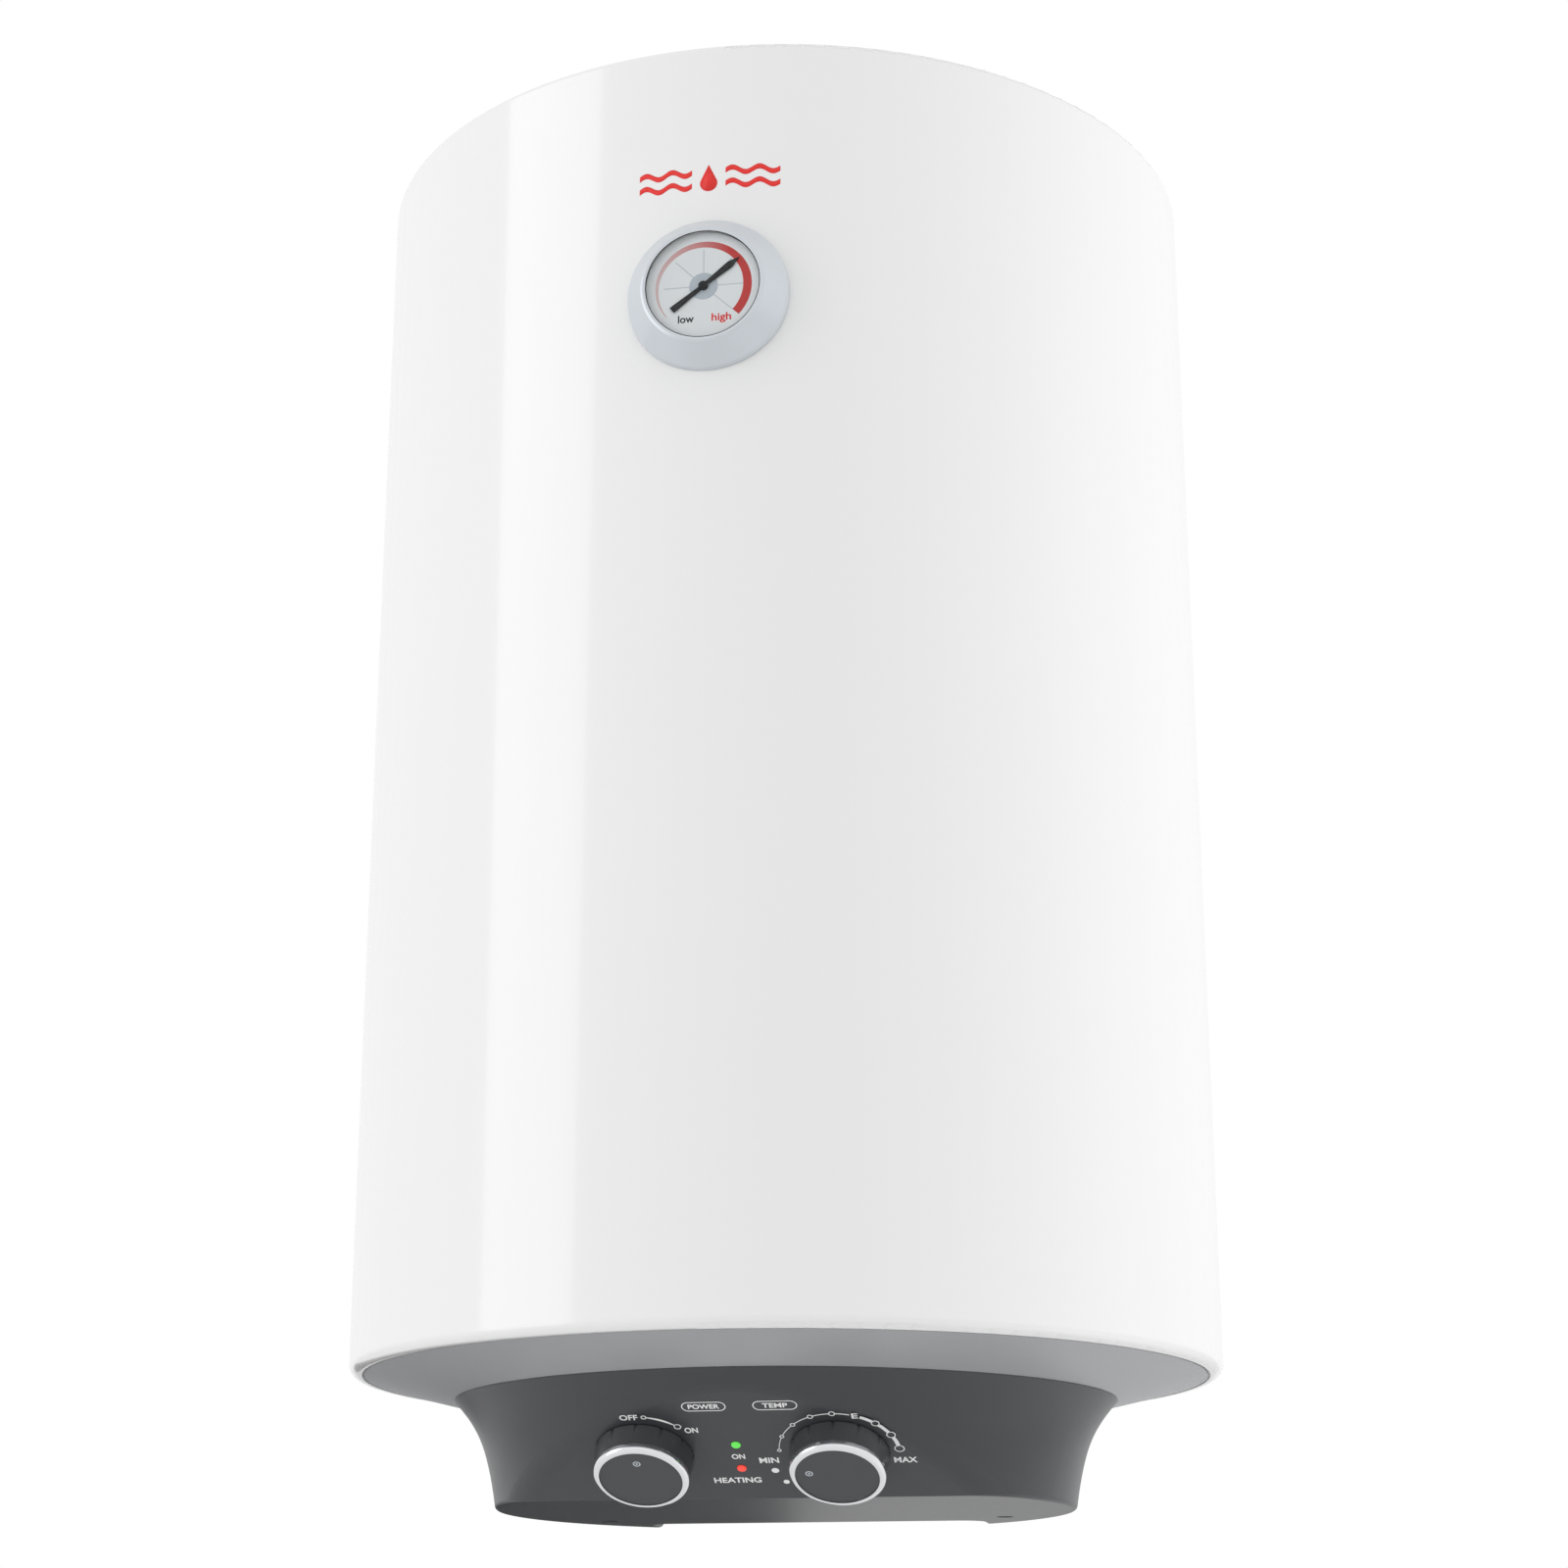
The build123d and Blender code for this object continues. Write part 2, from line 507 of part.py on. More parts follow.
def control_cover():
    """Flared plastic cover with the sloping control panel."""
    outer = cover_form(0)
    rims = [e for e in outer.edges() if abs(e.center().Z - COVER_BOTTOM) < 1e-3]
    outer = fillet(rims, COVER_EDGE)
    cover = outer - cover_form(COVER_WALL)
    seat = COVER_BOTTOM + SCREW_SINK + SCREW_HEAD
    for x, y in screw_spots():
        cover += rod(BOSS_R + 1.5, COVER_BOTTOM + COVER_WALL, BOSS_END, x, y)
        cover -= rod(SCREW_HEAD_R + CLEAR, COVER_BOTTOM - PAST, seat, x, y)
        cover -= rod(SCREW_R + CLEAR, COVER_BOTTOM, 0, x, y)
    for x in (-KNOB_X, KNOB_X):
        cover -= PANEL * rod(SPINDLE_R + 2 * CLEAR, -2 * PAST, PAST, x, -KNOB_DOWN)
    for down in (GREEN_DOWN, RED_DOWN):
        cover -= PANEL * rod(LAMP_R + SNUG, -2 * PAST, PAST, LAMP_X, -down)
    for x in (-BOARD_HALF_X + 4, BOARD_HALF_X - 4):
        cover += PANEL * rod(2.5, -BOARD_DEPTH, -COVER_WALL, x, -BOARD_DOWN)
    gland_hole = rod(GLAND_R + SNUG, 0, 4 * PAST)
    return cover - backward((0, GLAND_Z), NOTCH_Y - 2 * PAST) * gland_hole


def cover_screws():
    """Screws that hold the cover on the cap's bosses."""
    screws = []
    low = COVER_BOTTOM + SCREW_SINK
    for x, y in screw_spots():
        head = rod(SCREW_HEAD_R, low, low + SCREW_HEAD, x, y)
        slot = block((x - PAST, x + PAST), (y - 0.5, y + 0.5), (COVER_BOTTOM, low + 1))
        screws.append(head + rod(SCREW_R, low + SCREW_HEAD, SCREW_TIP, x, y) - slot)
    return screws


def cable_gland():
    """Cord inlet in the rear recess, clamped on the cover's wall."""
    inside, outside = -6.0, 10.0
    body = rod(GLAND_R, inside, outside)
    body += rod(GLAND_NUT_R, COVER_WALL, outside - 1) + rod(GLAND_NUT_R, inside + 1, 0)
    body -= rod(GLAND_BORE, inside - PAST, outside + PAST)
    return backward((0, GLAND_Z), NOTCH_Y - COVER_WALL) * body


# ---- Knobs ----
def on_panel(x, down, piece):
    """A piece placed on the panel, with its Z out of the panel's face."""
    return PANEL * Pos(x, -down, 0) * piece


def knob_body(x):
    """Fluted plastic skirt with a hub for the spindle."""
    low, high = SKIRT_LOW, SKIRT_HIGH
    skirt = Pos(0, 0, low) * Cone(KNOB_R + SKIRT_FLARE, KNOB_R - 0.4, high - low, align=FROM_BASE)
    for i in range(FLUTE_COUNT):
        skirt -= Rot(0, 0, i * 360 / FLUTE_COUNT) * rod(FLUTE_R, low, RING_TOP, KNOB_R + 0.9)
    body = skirt + rod(KNOB_R - RING_WALL - SNUG, high, FACE_LOW)
    body -= rod(SPINDLE_R + RUNNING, -PAST, SPINDLE_HIGH + CLEAR)
    body -= tube(KNOB_R - COVER_WALL, 2 * SPINDLE_R, low - PAST, high - COVER_WALL)
    return on_panel(x, KNOB_DOWN, body)


def knob_ring(x):
    """Polished band round the knob's front."""
    ring = tube(KNOB_R, KNOB_R - RING_WALL, SKIRT_HIGH, RING_TOP)
    for end, size in ((-1, RING_ROUND), (0, 0.6)):
        circles = ring.edges().filter_by(GeomType.CIRCLE).group_by(Axis.Z)[end]
        ring = fillet(circles.sort_by(SortBy.RADIUS)[-1], size)
    return on_panel(x, KNOB_DOWN, ring)


def knob_face(x):
    """Flat disc set in the ring."""
    return on_panel(x, KNOB_DOWN, rod(KNOB_R - RING_WALL - SNUG, FACE_LOW, FACE_TOP))


def spindle(x):
    """Shaft from the control behind the panel into the knob, with a flat."""
    shaft = rod(SPINDLE_R, SPINDLE_LOW, SPINDLE_HIGH)
    shaft -= block((SPINDLE_R - 1, SPINDLE_R + 1), (-PAST, PAST), (3, SPINDLE_HIGH + 1))
    return on_panel(x, KNOB_DOWN, shaft)


# ---- Controls behind the panel ----
def control_case(x, half_x):
    """Case of a rotary control, its bushing against the panel's back, bored for the spindle."""
    seat, half_y = -COVER_WALL - BUSHING, CONTROL_HALF
    case = block((-half_x, half_x), (-half_y, half_y), (-CONTROL_DEPTH, seat))
    case = fillet(case.edges().filter_by(Axis.Z), 2)
    case += rod(BUSHING_R, seat, -COVER_WALL)
    return on_panel(x, KNOB_DOWN, case - rod(SPINDLE_R + RUNNING, SPINDLE_LOW - 1, 0))


def lamp_lens(down):
    """Coloured pin lens that shows through the panel."""
    flange = rod(LAMP_R + 1, -COVER_WALL - 1.2, -COVER_WALL)
    lens = rod(LAMP_R, -BOARD_DEPTH, 0.5) + flange
    tip = lens.edges().filter_by(GeomType.CIRCLE).sort_by(Axis.Z)[-1]
    return on_panel(LAMP_X, down, fillet(tip, 0.45))


def lamp_board():
    """Small board that carries both lamps."""
    low, high = -BOARD_DEPTH - BOARD_WALL, -BOARD_DEPTH
    half_x, half_y = BOARD_HALF_X, BOARD_HALF_Y
    return on_panel(0, BOARD_DOWN, block((-half_x, half_x), (-half_y, half_y), (low, high)))


def cutout_body():
    """Safety cut-out under the cap, with a well for its reset button."""
    across = (CUTOUT_X - CUTOUT_HALF_X, CUTOUT_X + CUTOUT_HALF_X)
    along = (CUTOUT_Y - CUTOUT_HALF_Y, CUTOUT_Y + CUTOUT_HALF_Y)
    case = block(across, along, (CUTOUT_LOW, CAP_FLAT_Z))
    return case - rod(BUTTON_R + CLEAR, CUTOUT_LOW - PAST, BUTTON_HIGH + 3, CUTOUT_X, CUTOUT_Y)


def reset_button():
    """Push button under the cut-out."""
    button = rod(BUTTON_R, BUTTON_LOW, BUTTON_HIGH, CUTOUT_X, CUTOUT_Y)
    return fillet(button.edges().filter_by(GeomType.CIRCLE).sort_by(Axis.Z)[0], 0.6)


def terminal_block():
    """Three-pole mains block under the cap."""
    body = block((-BLOCK_HALF_X, BLOCK_HALF_X), (BLOCK_FRONT, BLOCK_BACK), (POLE_LOW, CAP_FLAT_Z))
    for x in (-POLE_X, 0, POLE_X):
        body -= rod(2.6, POLE_LOW - PAST, POLE_LOW + 6, x, POLE_Y)
    return body


def terminal_screws():
    """Clamp screws of the mains block."""
    return [rod(2.4, POLE_LOW + 2, POLE_LOW + 6, x, POLE_Y) for x in (-POLE_X, 0, POLE_X)]


def lead_from(x, target):
    """A lead from a rotary control, over the cover's floor, to a pole of the mains block."""
    start = PANEL.from_local_coords(Vector(x, -KNOB_DOWN - CONTROL_HALF, -13))
    out = start + DOWN_SLOPE * 11
    side = 1 if x > 0 else -1
    over = [(x - side * 4, out.Y + 24, out.Z - 2), (x - side * 14, out.Y + 60, -46)]
    rise = [(target + side, 12, -40), (target, 32, -20), (target, BLOCK_FRONT, -20)]
    return bent_tube(LEAD_R, [start, out] + over + rise)


def lead_earth():
    """Earth lead from the mains block to the stud on the flange plate."""
    over = [(0, BLOCK_FRONT, -18), (0, 36, -18), (-8, 24, -22), (-20, 19, -24)]
    return bent_tube(LEAD_R, over + [(EARTH_X, EARTH_Y, -19), (EARTH_X, EARTH_Y, ELEMENT_FOOT)])


def element_leads():
    """Leads from the safety cut-out to both terminals of the element."""
    front = CUTOUT_Y - CUTOUT_HALF_Y
    far = [(-60, front, -18), (-60, 34, -18), (-54, 14, -22), (-40, -6, -30), (-26, -17, -35)]
    far += [(-LEG_X, LEG_Y, -31), (-LEG_X, LEG_Y, TAB_END)]
    near = [(-66, front, -26), (-66, 34, -26), (-60, 8, -32), (-40, -20, -37), (-10, -34, -39)]
    near += [(14, -28, -38), (LEG_X, LEG_Y, -32), (LEG_X, LEG_Y, TAB_END)]
    return [bent_tube(ELEMENT_LEAD_R, route) for route in (far, near)]


def sensing_line(side, route):
    """Bulb in the pocket and the fine tube that leads to its control."""
    x, foot = side * BULB_X, BULB_FOOT
    line = bent_tube(CAPILLARY_R, route + [(x, WELL_Y, -9), (x, WELL_Y, foot)])
    return line + rod(BULB_R, foot, foot + BULB_LENGTH, x, WELL_Y)


def thermostat_capillary():
    """Sensing line of the thermostat."""
    start = PANEL.from_local_coords(Vector(30, -KNOB_DOWN - 6, -CONTROL_DEPTH))
    out = start - PANEL_OUT * 10
    return sensing_line(1, [start, out, (18, -40, -17), (6, -4, -18)])


def cutout_capillary():
    """Sensing line of the safety cut-out."""
    front = CUTOUT_Y - CUTOUT_HALF_Y
    over = [(-57, front, -13), (-57, 36, -13), (-46, 12, -12), (-30, 0, -13), (-12, 4, -15)]
    return sensing_line(-1, over)


# ---- Thermometer ----
def gauge_case():
    """Round cup through the jacket, with a centre bearing for the needle."""
    floor = CASE_BACK + CASE_WALL
    cup = rod(CASE_R, CASE_BACK, CASE_FRONT) - rod(CASE_R - CASE_WALL, floor, CASE_FRONT + PAST)
    cup += rod(3 * ARBOR_R, floor, 4)
    return GAUGE * (cup - rod(ARBOR_R + RUNNING, ARBOR_FOOT - 2, CASE_FRONT + PAST))


def gauge_dial():
    """White dial plate."""
    return GAUGE * tube(CASE_R - CASE_WALL - 2 * SNUG, ARBOR_R + CLEAR, DIAL_LOW, DIAL_HIGH)


def gauge_needle():
    """Double-ended pointer on its arbor."""
    tip, tail, low = 0.79 * DIAL_R, 0.69 * DIAL_R, NEEDLE_LOW
    right = [(0.75, 0), (1.6, tip - 5), (0, tip), (-1.6, tip - 5), (-0.75, 0)]
    blade = make_face(Polyline(*right, (-1.5, -tail), (1.5, -tail), close=True))
    hub = rod(HUB_R, low - 0.2, low + NEEDLE_THICK + 0.2)
    needle = Pos(0, 0, low) * extrude(blade, NEEDLE_THICK) + hub + rod(ARBOR_R, ARBOR_FOOT, low)
    return GAUGE * Rot(0, 0, -NEEDLE_ANGLE) * needle


def gauge_lens():
    """Clear window over the dial."""
    return GAUGE * rod(CASE_R - SNUG, LENS_LOW, LENS_HIGH)


def gauge_bezel():
    """Sloping ring that frames the dial."""
    bore, back, seat = CASE_R + SNUG, -8.0, LENS_HIGH + SNUG
    rim, crest = [(BEZEL_R, 0.8), (BEZEL_R - 0.5, 2.2)], [(DIAL_R + 2.2, 11.2), (DIAL_R + 1.2, 11.8)]
    lip = [(DIAL_R, 11.8), (DIAL_R, seat), (bore, seat)]
    ring = GAUGE * turned((bore, back), (BEZEL_R, back), *rim, *crest, *lip)
    return ring - rod(JACKET_R + SNUG, GAUGE_Z - 2 * BEZEL_R, GAUGE_Z + 2 * BEZEL_R)


def gauge_stem():
    """Heat-conducting stem from the case to the tank's wall."""
    stem = GAUGE * rod(STEM_R, -2 * CASE_R, CASE_BACK)
    return stem - rod(TANK_R + SNUG, GAUGE_Z - CASE_R, GAUGE_Z + CASE_R)


os.makedirs("parts", exist_ok=True)
save("outer_jacket", outer_jacket())
save("top_cap", top_cap())
save("bottom_cap", bottom_cap())
save("tank_shell", tube(TANK_R, TANK_R - TANK_WALL, SHELL_BOTTOM, SHELL_TOP))
save("tank_top_dome", dome(True, SHELL_TOP))
save("tank_bottom_dome", tank_bottom_dome())
save("tank_posts", tank_posts())
save("foam_insulation", foam_insulation())
save("flange_collar", flange_collar())
save("flange_studs", flange_studs())
save("flange_gasket", flange_gasket())
save("flange_plate", flange_plate())
save("flange_nuts", flange_nuts())
save("heating_element", heating_element())
save("element_terminals", element_terminals())
save("magnesium_anode", magnesium_anode())
save("anode_stud", anode_stud())
save("thermowell", thermowell())
save("earth_stud", earth_stud())
save("cold_inlet_pipe", water_pipe(PIPE_X))
save("hot_outlet_pipe", water_pipe(-PIPE_X))
save("inlet_diffuser", inlet_diffuser())
save("hot_dip_tube", hot_dip_tube())
save("cold_collar", pipe_collar(PIPE_X))
save("hot_collar", pipe_collar(-PIPE_X))
save("hanger_bracket", hanger_bracket())
save("bracket_bolts", bracket_bolts())
save("lower_spacer", lower_spacer())
save("control_cover", control_cover())
save("cover_screws", cover_screws())
save("cable_gland", cable_gland())
for name, x in (("power", -KNOB_X), ("temperature", KNOB_X)):
    save(f"{name}_knob_body", knob_body(x))
    save(f"{name}_knob_ring", knob_ring(x))
    save(f"{name}_knob_face", knob_face(x))
    save(f"{name}_spindle", spindle(x))
save("power_switch_body", control_case(-KNOB_X, SWITCH_HALF_X))
save("thermostat_body", control_case(KNOB_X, THERMOSTAT_HALF_X))
save("thermostat_capillary", thermostat_capillary())
save("cutout_capillary", cutout_capillary())
save("green_lamp_lens", lamp_lens(GREEN_DOWN))
save("red_lamp_lens", lamp_lens(RED_DOWN))
save("lamp_board", lamp_board())
save("cutout_body", cutout_body())
save("reset_button", reset_button())
save("terminal_block", terminal_block())
save("terminal_screws", terminal_screws())
save("lead_live", lead_from(-KNOB_X, -POLE_X))
save("lead_neutral", lead_from(KNOB_X, POLE_X))
save("lead_earth", lead_earth())
save("element_leads", element_leads())
save("gauge_case", gauge_case())
save("gauge_dial", gauge_dial())
save("gauge_needle", gauge_needle())
save("gauge_lens", gauge_lens())
save("gauge_bezel", gauge_bezel())
save("gauge_stem", gauge_stem())
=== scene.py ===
# %% [markdown]
# A wall-hung electric storage water heater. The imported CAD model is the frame: every solid piece is
# already there at its real size. This lesson adds what CAD leaves out: the smooth sheet metal, the
# printed dial and panel, the screw threads, and a finish for every piece.

# %% Load the frame
import json
import math

import bpy
from mathutils import Matrix, Vector


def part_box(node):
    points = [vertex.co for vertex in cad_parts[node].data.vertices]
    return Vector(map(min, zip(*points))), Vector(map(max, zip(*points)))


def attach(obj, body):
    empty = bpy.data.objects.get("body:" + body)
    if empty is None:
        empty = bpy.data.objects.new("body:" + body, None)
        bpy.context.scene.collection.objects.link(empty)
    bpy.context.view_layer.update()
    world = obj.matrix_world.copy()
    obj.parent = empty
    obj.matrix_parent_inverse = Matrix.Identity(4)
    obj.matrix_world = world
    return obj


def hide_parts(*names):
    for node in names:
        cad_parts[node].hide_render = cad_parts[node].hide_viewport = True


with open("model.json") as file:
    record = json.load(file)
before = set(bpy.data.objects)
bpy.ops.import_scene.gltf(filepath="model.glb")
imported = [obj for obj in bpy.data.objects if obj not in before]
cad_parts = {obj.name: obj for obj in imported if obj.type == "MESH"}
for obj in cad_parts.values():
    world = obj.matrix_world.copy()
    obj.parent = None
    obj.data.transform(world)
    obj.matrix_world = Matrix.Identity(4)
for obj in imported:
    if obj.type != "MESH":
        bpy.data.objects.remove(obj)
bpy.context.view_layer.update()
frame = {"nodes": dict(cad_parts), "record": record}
nodes = frame["nodes"]

# %% [markdown]
# Places come from the frame, so that nothing has to be fitted afterwards. The jacket's box gives the
# heater's axis and its radius, and the joints give the two knobs' centres and the thermometer's.

# %% Read the places
MM = 0.001
X_AXIS = Vector((1, 0, 0))
joints = {joint["name"]: joint for joint in frame["record"]["behaviour"]["joints"]}
jacket_low, jacket_high = (Vector(corner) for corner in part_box("outer_jacket"))
RADIUS = (jacket_high.x - jacket_low.x) / 2
AXIS_Y = (jacket_high.y + jacket_low.y) / 2
HEATER = Matrix.Translation((0, AXIS_Y, jacket_low.z))


def plane_at(origin, out, right=X_AXIS):
    """A matrix whose Z points out of a surface, with X to the right and Y up along the surface."""
    out = Vector(out).normalized()
    up = out.cross(right).normalized()
    turn = Matrix((right, up, out)).transposed().to_4x4()
    return Matrix.Translation(origin) @ turn


knob_spots = {name: Vector(joints[f"{name}_turn"]["pos_m"]) for name in ("power", "temperature")}
panel_out = -Vector(joints["power_turn"]["axis"])
PANEL = plane_at((knob_spots["power"] + knob_spots["temperature"]) / 2, panel_out)
KNOB_X = knob_spots["temperature"].x
gauge_centre = Vector(joints["needle_turn"]["pos_m"])
GAUGE = plane_at((0, AXIS_Y - RADIUS, gauge_centre.z), (0, -1, 0))
print("radius", round(RADIUS, 4), "axis y", round(AXIS_Y, 4), "gauge z", round(gauge_centre.z, 4))

# %% [markdown]
# The camera stands low in front of the heater, a little to its right, and looks up at it. It is set
# first, because everything else is judged through it. Its place is given from the heater's axis and
# the jacket's lower edge.

# %% Camera
LENS_MM, SENSOR_MM = 69.1, 36
CAMERA_TURN, CAMERA_PITCH, CAMERA_SWAY = math.radians(10), math.radians(17.41), math.radians(0.04)
CAMERA_AWAY, CAMERA_DROP = 1.372, 0.1486
camera_data = bpy.data.cameras.new("camera")
camera_data.lens = LENS_MM
camera_data.sensor_width = SENSOR_MM
camera = bpy.data.objects.new("camera", camera_data)
bpy.context.collection.objects.link(camera)
bpy.context.scene.camera = camera
away = Vector((math.sin(CAMERA_TURN), -math.cos(CAMERA_TURN), 0)) * CAMERA_AWAY
camera.location = HEATER.translation + away - Vector((0, 0, CAMERA_DROP))
camera.rotation_euler = (math.pi / 2 + CAMERA_PITCH, 0, CAMERA_TURN + CAMERA_SWAY)
bpy.context.scene.view_settings.view_transform = "Standard"
print("camera at", [round(v, 3) for v in camera.location])

# %% [markdown]
# These helpers do the work that is done by hand in Blender: draw an outline by extruding one vertex,
# turn it round an axis with Spin or fill it and give it a thickness, and settle a finished piece so
# that its object sits at the origin with its place in its mesh, as the CAD nodes are.

# %% Mesh helpers
ops = bpy.ops


def start_clean():
    """Leaves edit mode and deselects everything."""
    if bpy.context.object and bpy.context.object.mode != "OBJECT":
        ops.object.mode_set(mode="OBJECT")
    ops.object.select_all(action="DESELECT")


def pick_only(piece):
    """Makes one object the only selected and active one."""
    start_clean()
    piece.select_set(True)
    bpy.context.view_layer.objects.active = piece


def settle(piece, place=None):
    """Moves a piece by a matrix and bakes that into its mesh."""
    pick_only(piece)
    if place is not None:
        piece.matrix_world = place @ piece.matrix_world
    ops.object.transform_apply(location=True, rotation=True, scale=True)
    return piece


def smooth(piece, degrees=35):
    """Smooths shading across edges that bend less than an angle."""
    pick_only(piece)
    ops.object.shade_smooth_by_angle(angle=math.radians(degrees))
    return piece


def draw_outline(name, points):
    """One vertex, extruded from point to point, and closed into a loop."""
    start_clean()
    ops.mesh.primitive_plane_add(size=MM, location=(0, 0, 0))
    piece = bpy.context.object
    piece.name = piece.data.name = name
    ops.object.mode_set(mode="EDIT")
    ops.mesh.select_all(action="SELECT")
    ops.mesh.merge(type="CENTER")
    ops.transform.translate(value=points[0])
    for here, there in zip(points, points[1:] + points[:1]):
        step = tuple(b - a for a, b in zip(here, there))
        ops.mesh.extrude_region_move(TRANSFORM_OT_translate={"value": step})
    ops.mesh.select_all(action="SELECT")
    ops.mesh.remove_doubles(threshold=1e-6)
    return piece


def close_up(piece, place=None):
    """Merges doubles, points the faces outwards, settles and smooths a piece."""
    ops.mesh.select_all(action="SELECT")
    ops.mesh.remove_doubles(threshold=1e-6)
    ops.mesh.normals_make_consistent(inside=False)
    ops.object.mode_set(mode="OBJECT")
    return smooth(settle(piece, place))


def turned(name, outline, steps=128, place=None):
    """A piece of revolution about Z from its (radius, height) outline in millimetres."""
    piece = draw_outline(name, [(radius * MM, 0, height * MM) for radius, height in outline])
    ops.mesh.select_all(action="SELECT")
    ops.mesh.spin(steps=steps, angle=2 * math.pi, center=(0, 0, 0), axis=(0, 0, 1))
    return close_up(piece, place)


def plate(name, outline, thickness, place=None, line=0):
    """A flat outline in XY, filled and given a thickness. With a line width, only its rim."""
    piece = draw_outline(name, [(x * MM, y * MM, 0) for x, y in outline])
    ops.mesh.edge_face_add()
    if line:
        ops.mesh.select_mode(type="FACE")
        ops.mesh.select_all(action="SELECT")
        ops.mesh.inset(thickness=line * MM)
        ops.mesh.delete(type="FACE")
        ops.mesh.select_mode(type="VERT")
        ops.mesh.select_all(action="SELECT")
    if thickness:
        ops.mesh.extrude_region_move(TRANSFORM_OT_translate={"value": (0, 0, thickness * MM)})
    return close_up(piece, place)


def joined(name, pieces):
    """Several pieces as one object."""
    start_clean()
    for piece in pieces:
        piece.select_set(True)
    bpy.context.view_layer.objects.active = pieces[0]
    ops.object.join()
    whole = bpy.context.object
    whole.name = whole.data.name = name
    return whole


def hand_over(piece, material, body="heater", stands_for=()):
    """Gives a finished piece its finish and its body."""
    piece.data.materials.clear()
    piece.data.materials.append(material)
    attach(piece, body)
    if stands_for:
        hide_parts(*stands_for)
    print(piece.name, "faces", len(piece.data.polygons))
    return piece


# %% [markdown]
# Effects that many finishes share are shader node groups, built once. Each gives out only a mask, a
# value or a height: fine moulded grain, slow unevenness of tone, brushed lines, and dust that has
# settled on surfaces that face up.

# %% Shader groups
def new_group(name, inputs, outputs):
    """An empty node group with float inputs and outputs."""
    group = bpy.data.node_groups.new(name, "ShaderNodeTree")
    for label, value in inputs:
        socket = group.interface.new_socket(label, in_out="INPUT", socket_type="NodeSocketFloat")
        socket.default_value = value
    for label in outputs:
        group.interface.new_socket(label, in_out="OUTPUT", socket_type="NodeSocketFloat")
    way_in = group.nodes.new("NodeGroupInput")
    way_out = group.nodes.new("NodeGroupOutput")
    return group, way_in, way_out


def noise_in(group, scale_from, detail, stretch=(1, 1, 1)):
    """A noise texture on object coordinates, its scale taken from a socket."""
    coords = group.nodes.new("ShaderNodeTexCoord")
    mapping = group.nodes.new("ShaderNodeMapping")
    mapping.inputs["Scale"].default_value = stretch
    noise = group.nodes.new("ShaderNodeTexNoise")
    noise.inputs["Detail"].default_value = detail
    group.links.new(coords.outputs["Object"], mapping.inputs["Vector"])
    group.links.new(mapping.outputs["Vector"], noise.inputs["Vector"])
    group.links.new(scale_from, noise.inputs["Scale"])
    return noise.outputs["Fac"]


def math_node(group, operation, first, second):
    """One maths step, with sockets or numbers as its inputs."""
    node = group.nodes.new("ShaderNodeMath")
    node.operation = operation
    for socket, value in zip(node.inputs, (first, second)):
        if isinstance(value, (int, float)):
            socket.default_value = value
        else:
            group.links.new(value, socket)
    return node.outputs[0]


def centred(group, way_in, noise):
    """Noise moved to swing about zero and multiplied by the group's Amount."""
    swing = math_node(group, "SUBTRACT", noise, 0.5)
    return math_node(group, "MULTIPLY", swing, way_in.outputs["Amount"])


def noise_group(name, scale, amount, detail, stretch=(1, 1, 1)):
    """A group that gives centred noise of its own scale and amount."""
    group, way_in, way_out = new_group(name, [("Scale", scale), ("Amount", amount)], ["Value"])
    noise = noise_in(group, way_in.outputs["Scale"], detail, stretch)
    group.links.new(centred(group, way_in, noise), way_out.inputs["Value"])
    return group


def dust_group():
    """Dust that lies where the surface faces up, broken up by noise."""
    group, way_in, way_out = new_group("settled_dust", [("Scale", 40), ("Amount", 0.3)], ["Mask"])
    geometry = group.nodes.new("ShaderNodeNewGeometry")
    split = group.nodes.new("ShaderNodeSeparateXYZ")
    group.links.new(geometry.outputs["Normal"], split.inputs[0])
    facing = math_node(group, "MAXIMUM", split.outputs["Z"], 0.0)
    patches = noise_in(group, way_in.outputs["Scale"], 6)
    laid = math_node(group, "MULTIPLY", facing, patches)
    group.links.new(math_node(group, "MULTIPLY", laid, way_in.outputs["Amount"]), way_out.inputs["Mask"])
    return group


GRAIN = noise_group("moulded_grain", 2500, 1.0, 2)
TONE = noise_group("slow_tone", 9, 0.1, 3)
BRUSH = noise_group("brushed_lines", 60, 1.0, 4, (1, 1, 40))
DUST = dust_group()
print("groups:", [group.name for group in (GRAIN, TONE, BRUSH, DUST)])

# %% [markdown]
# One function makes every finish from a few plain choices. The colour drifts a little with the slow
# tone group, dust greys what faces up, and grain or brushed lines drive both the roughness and a
# bump. Numbers that are the same all over stay on the shader's own sockets.

# %% Finishes
def add_group(tree, group, scale, amount):
    """Places a shared group in a material with its own values."""
    node = tree.nodes.new("ShaderNodeGroup")
    node.node_tree = group
    node.inputs["Scale"].default_value = scale
    node.inputs["Amount"].default_value = amount
    return node.outputs[0]


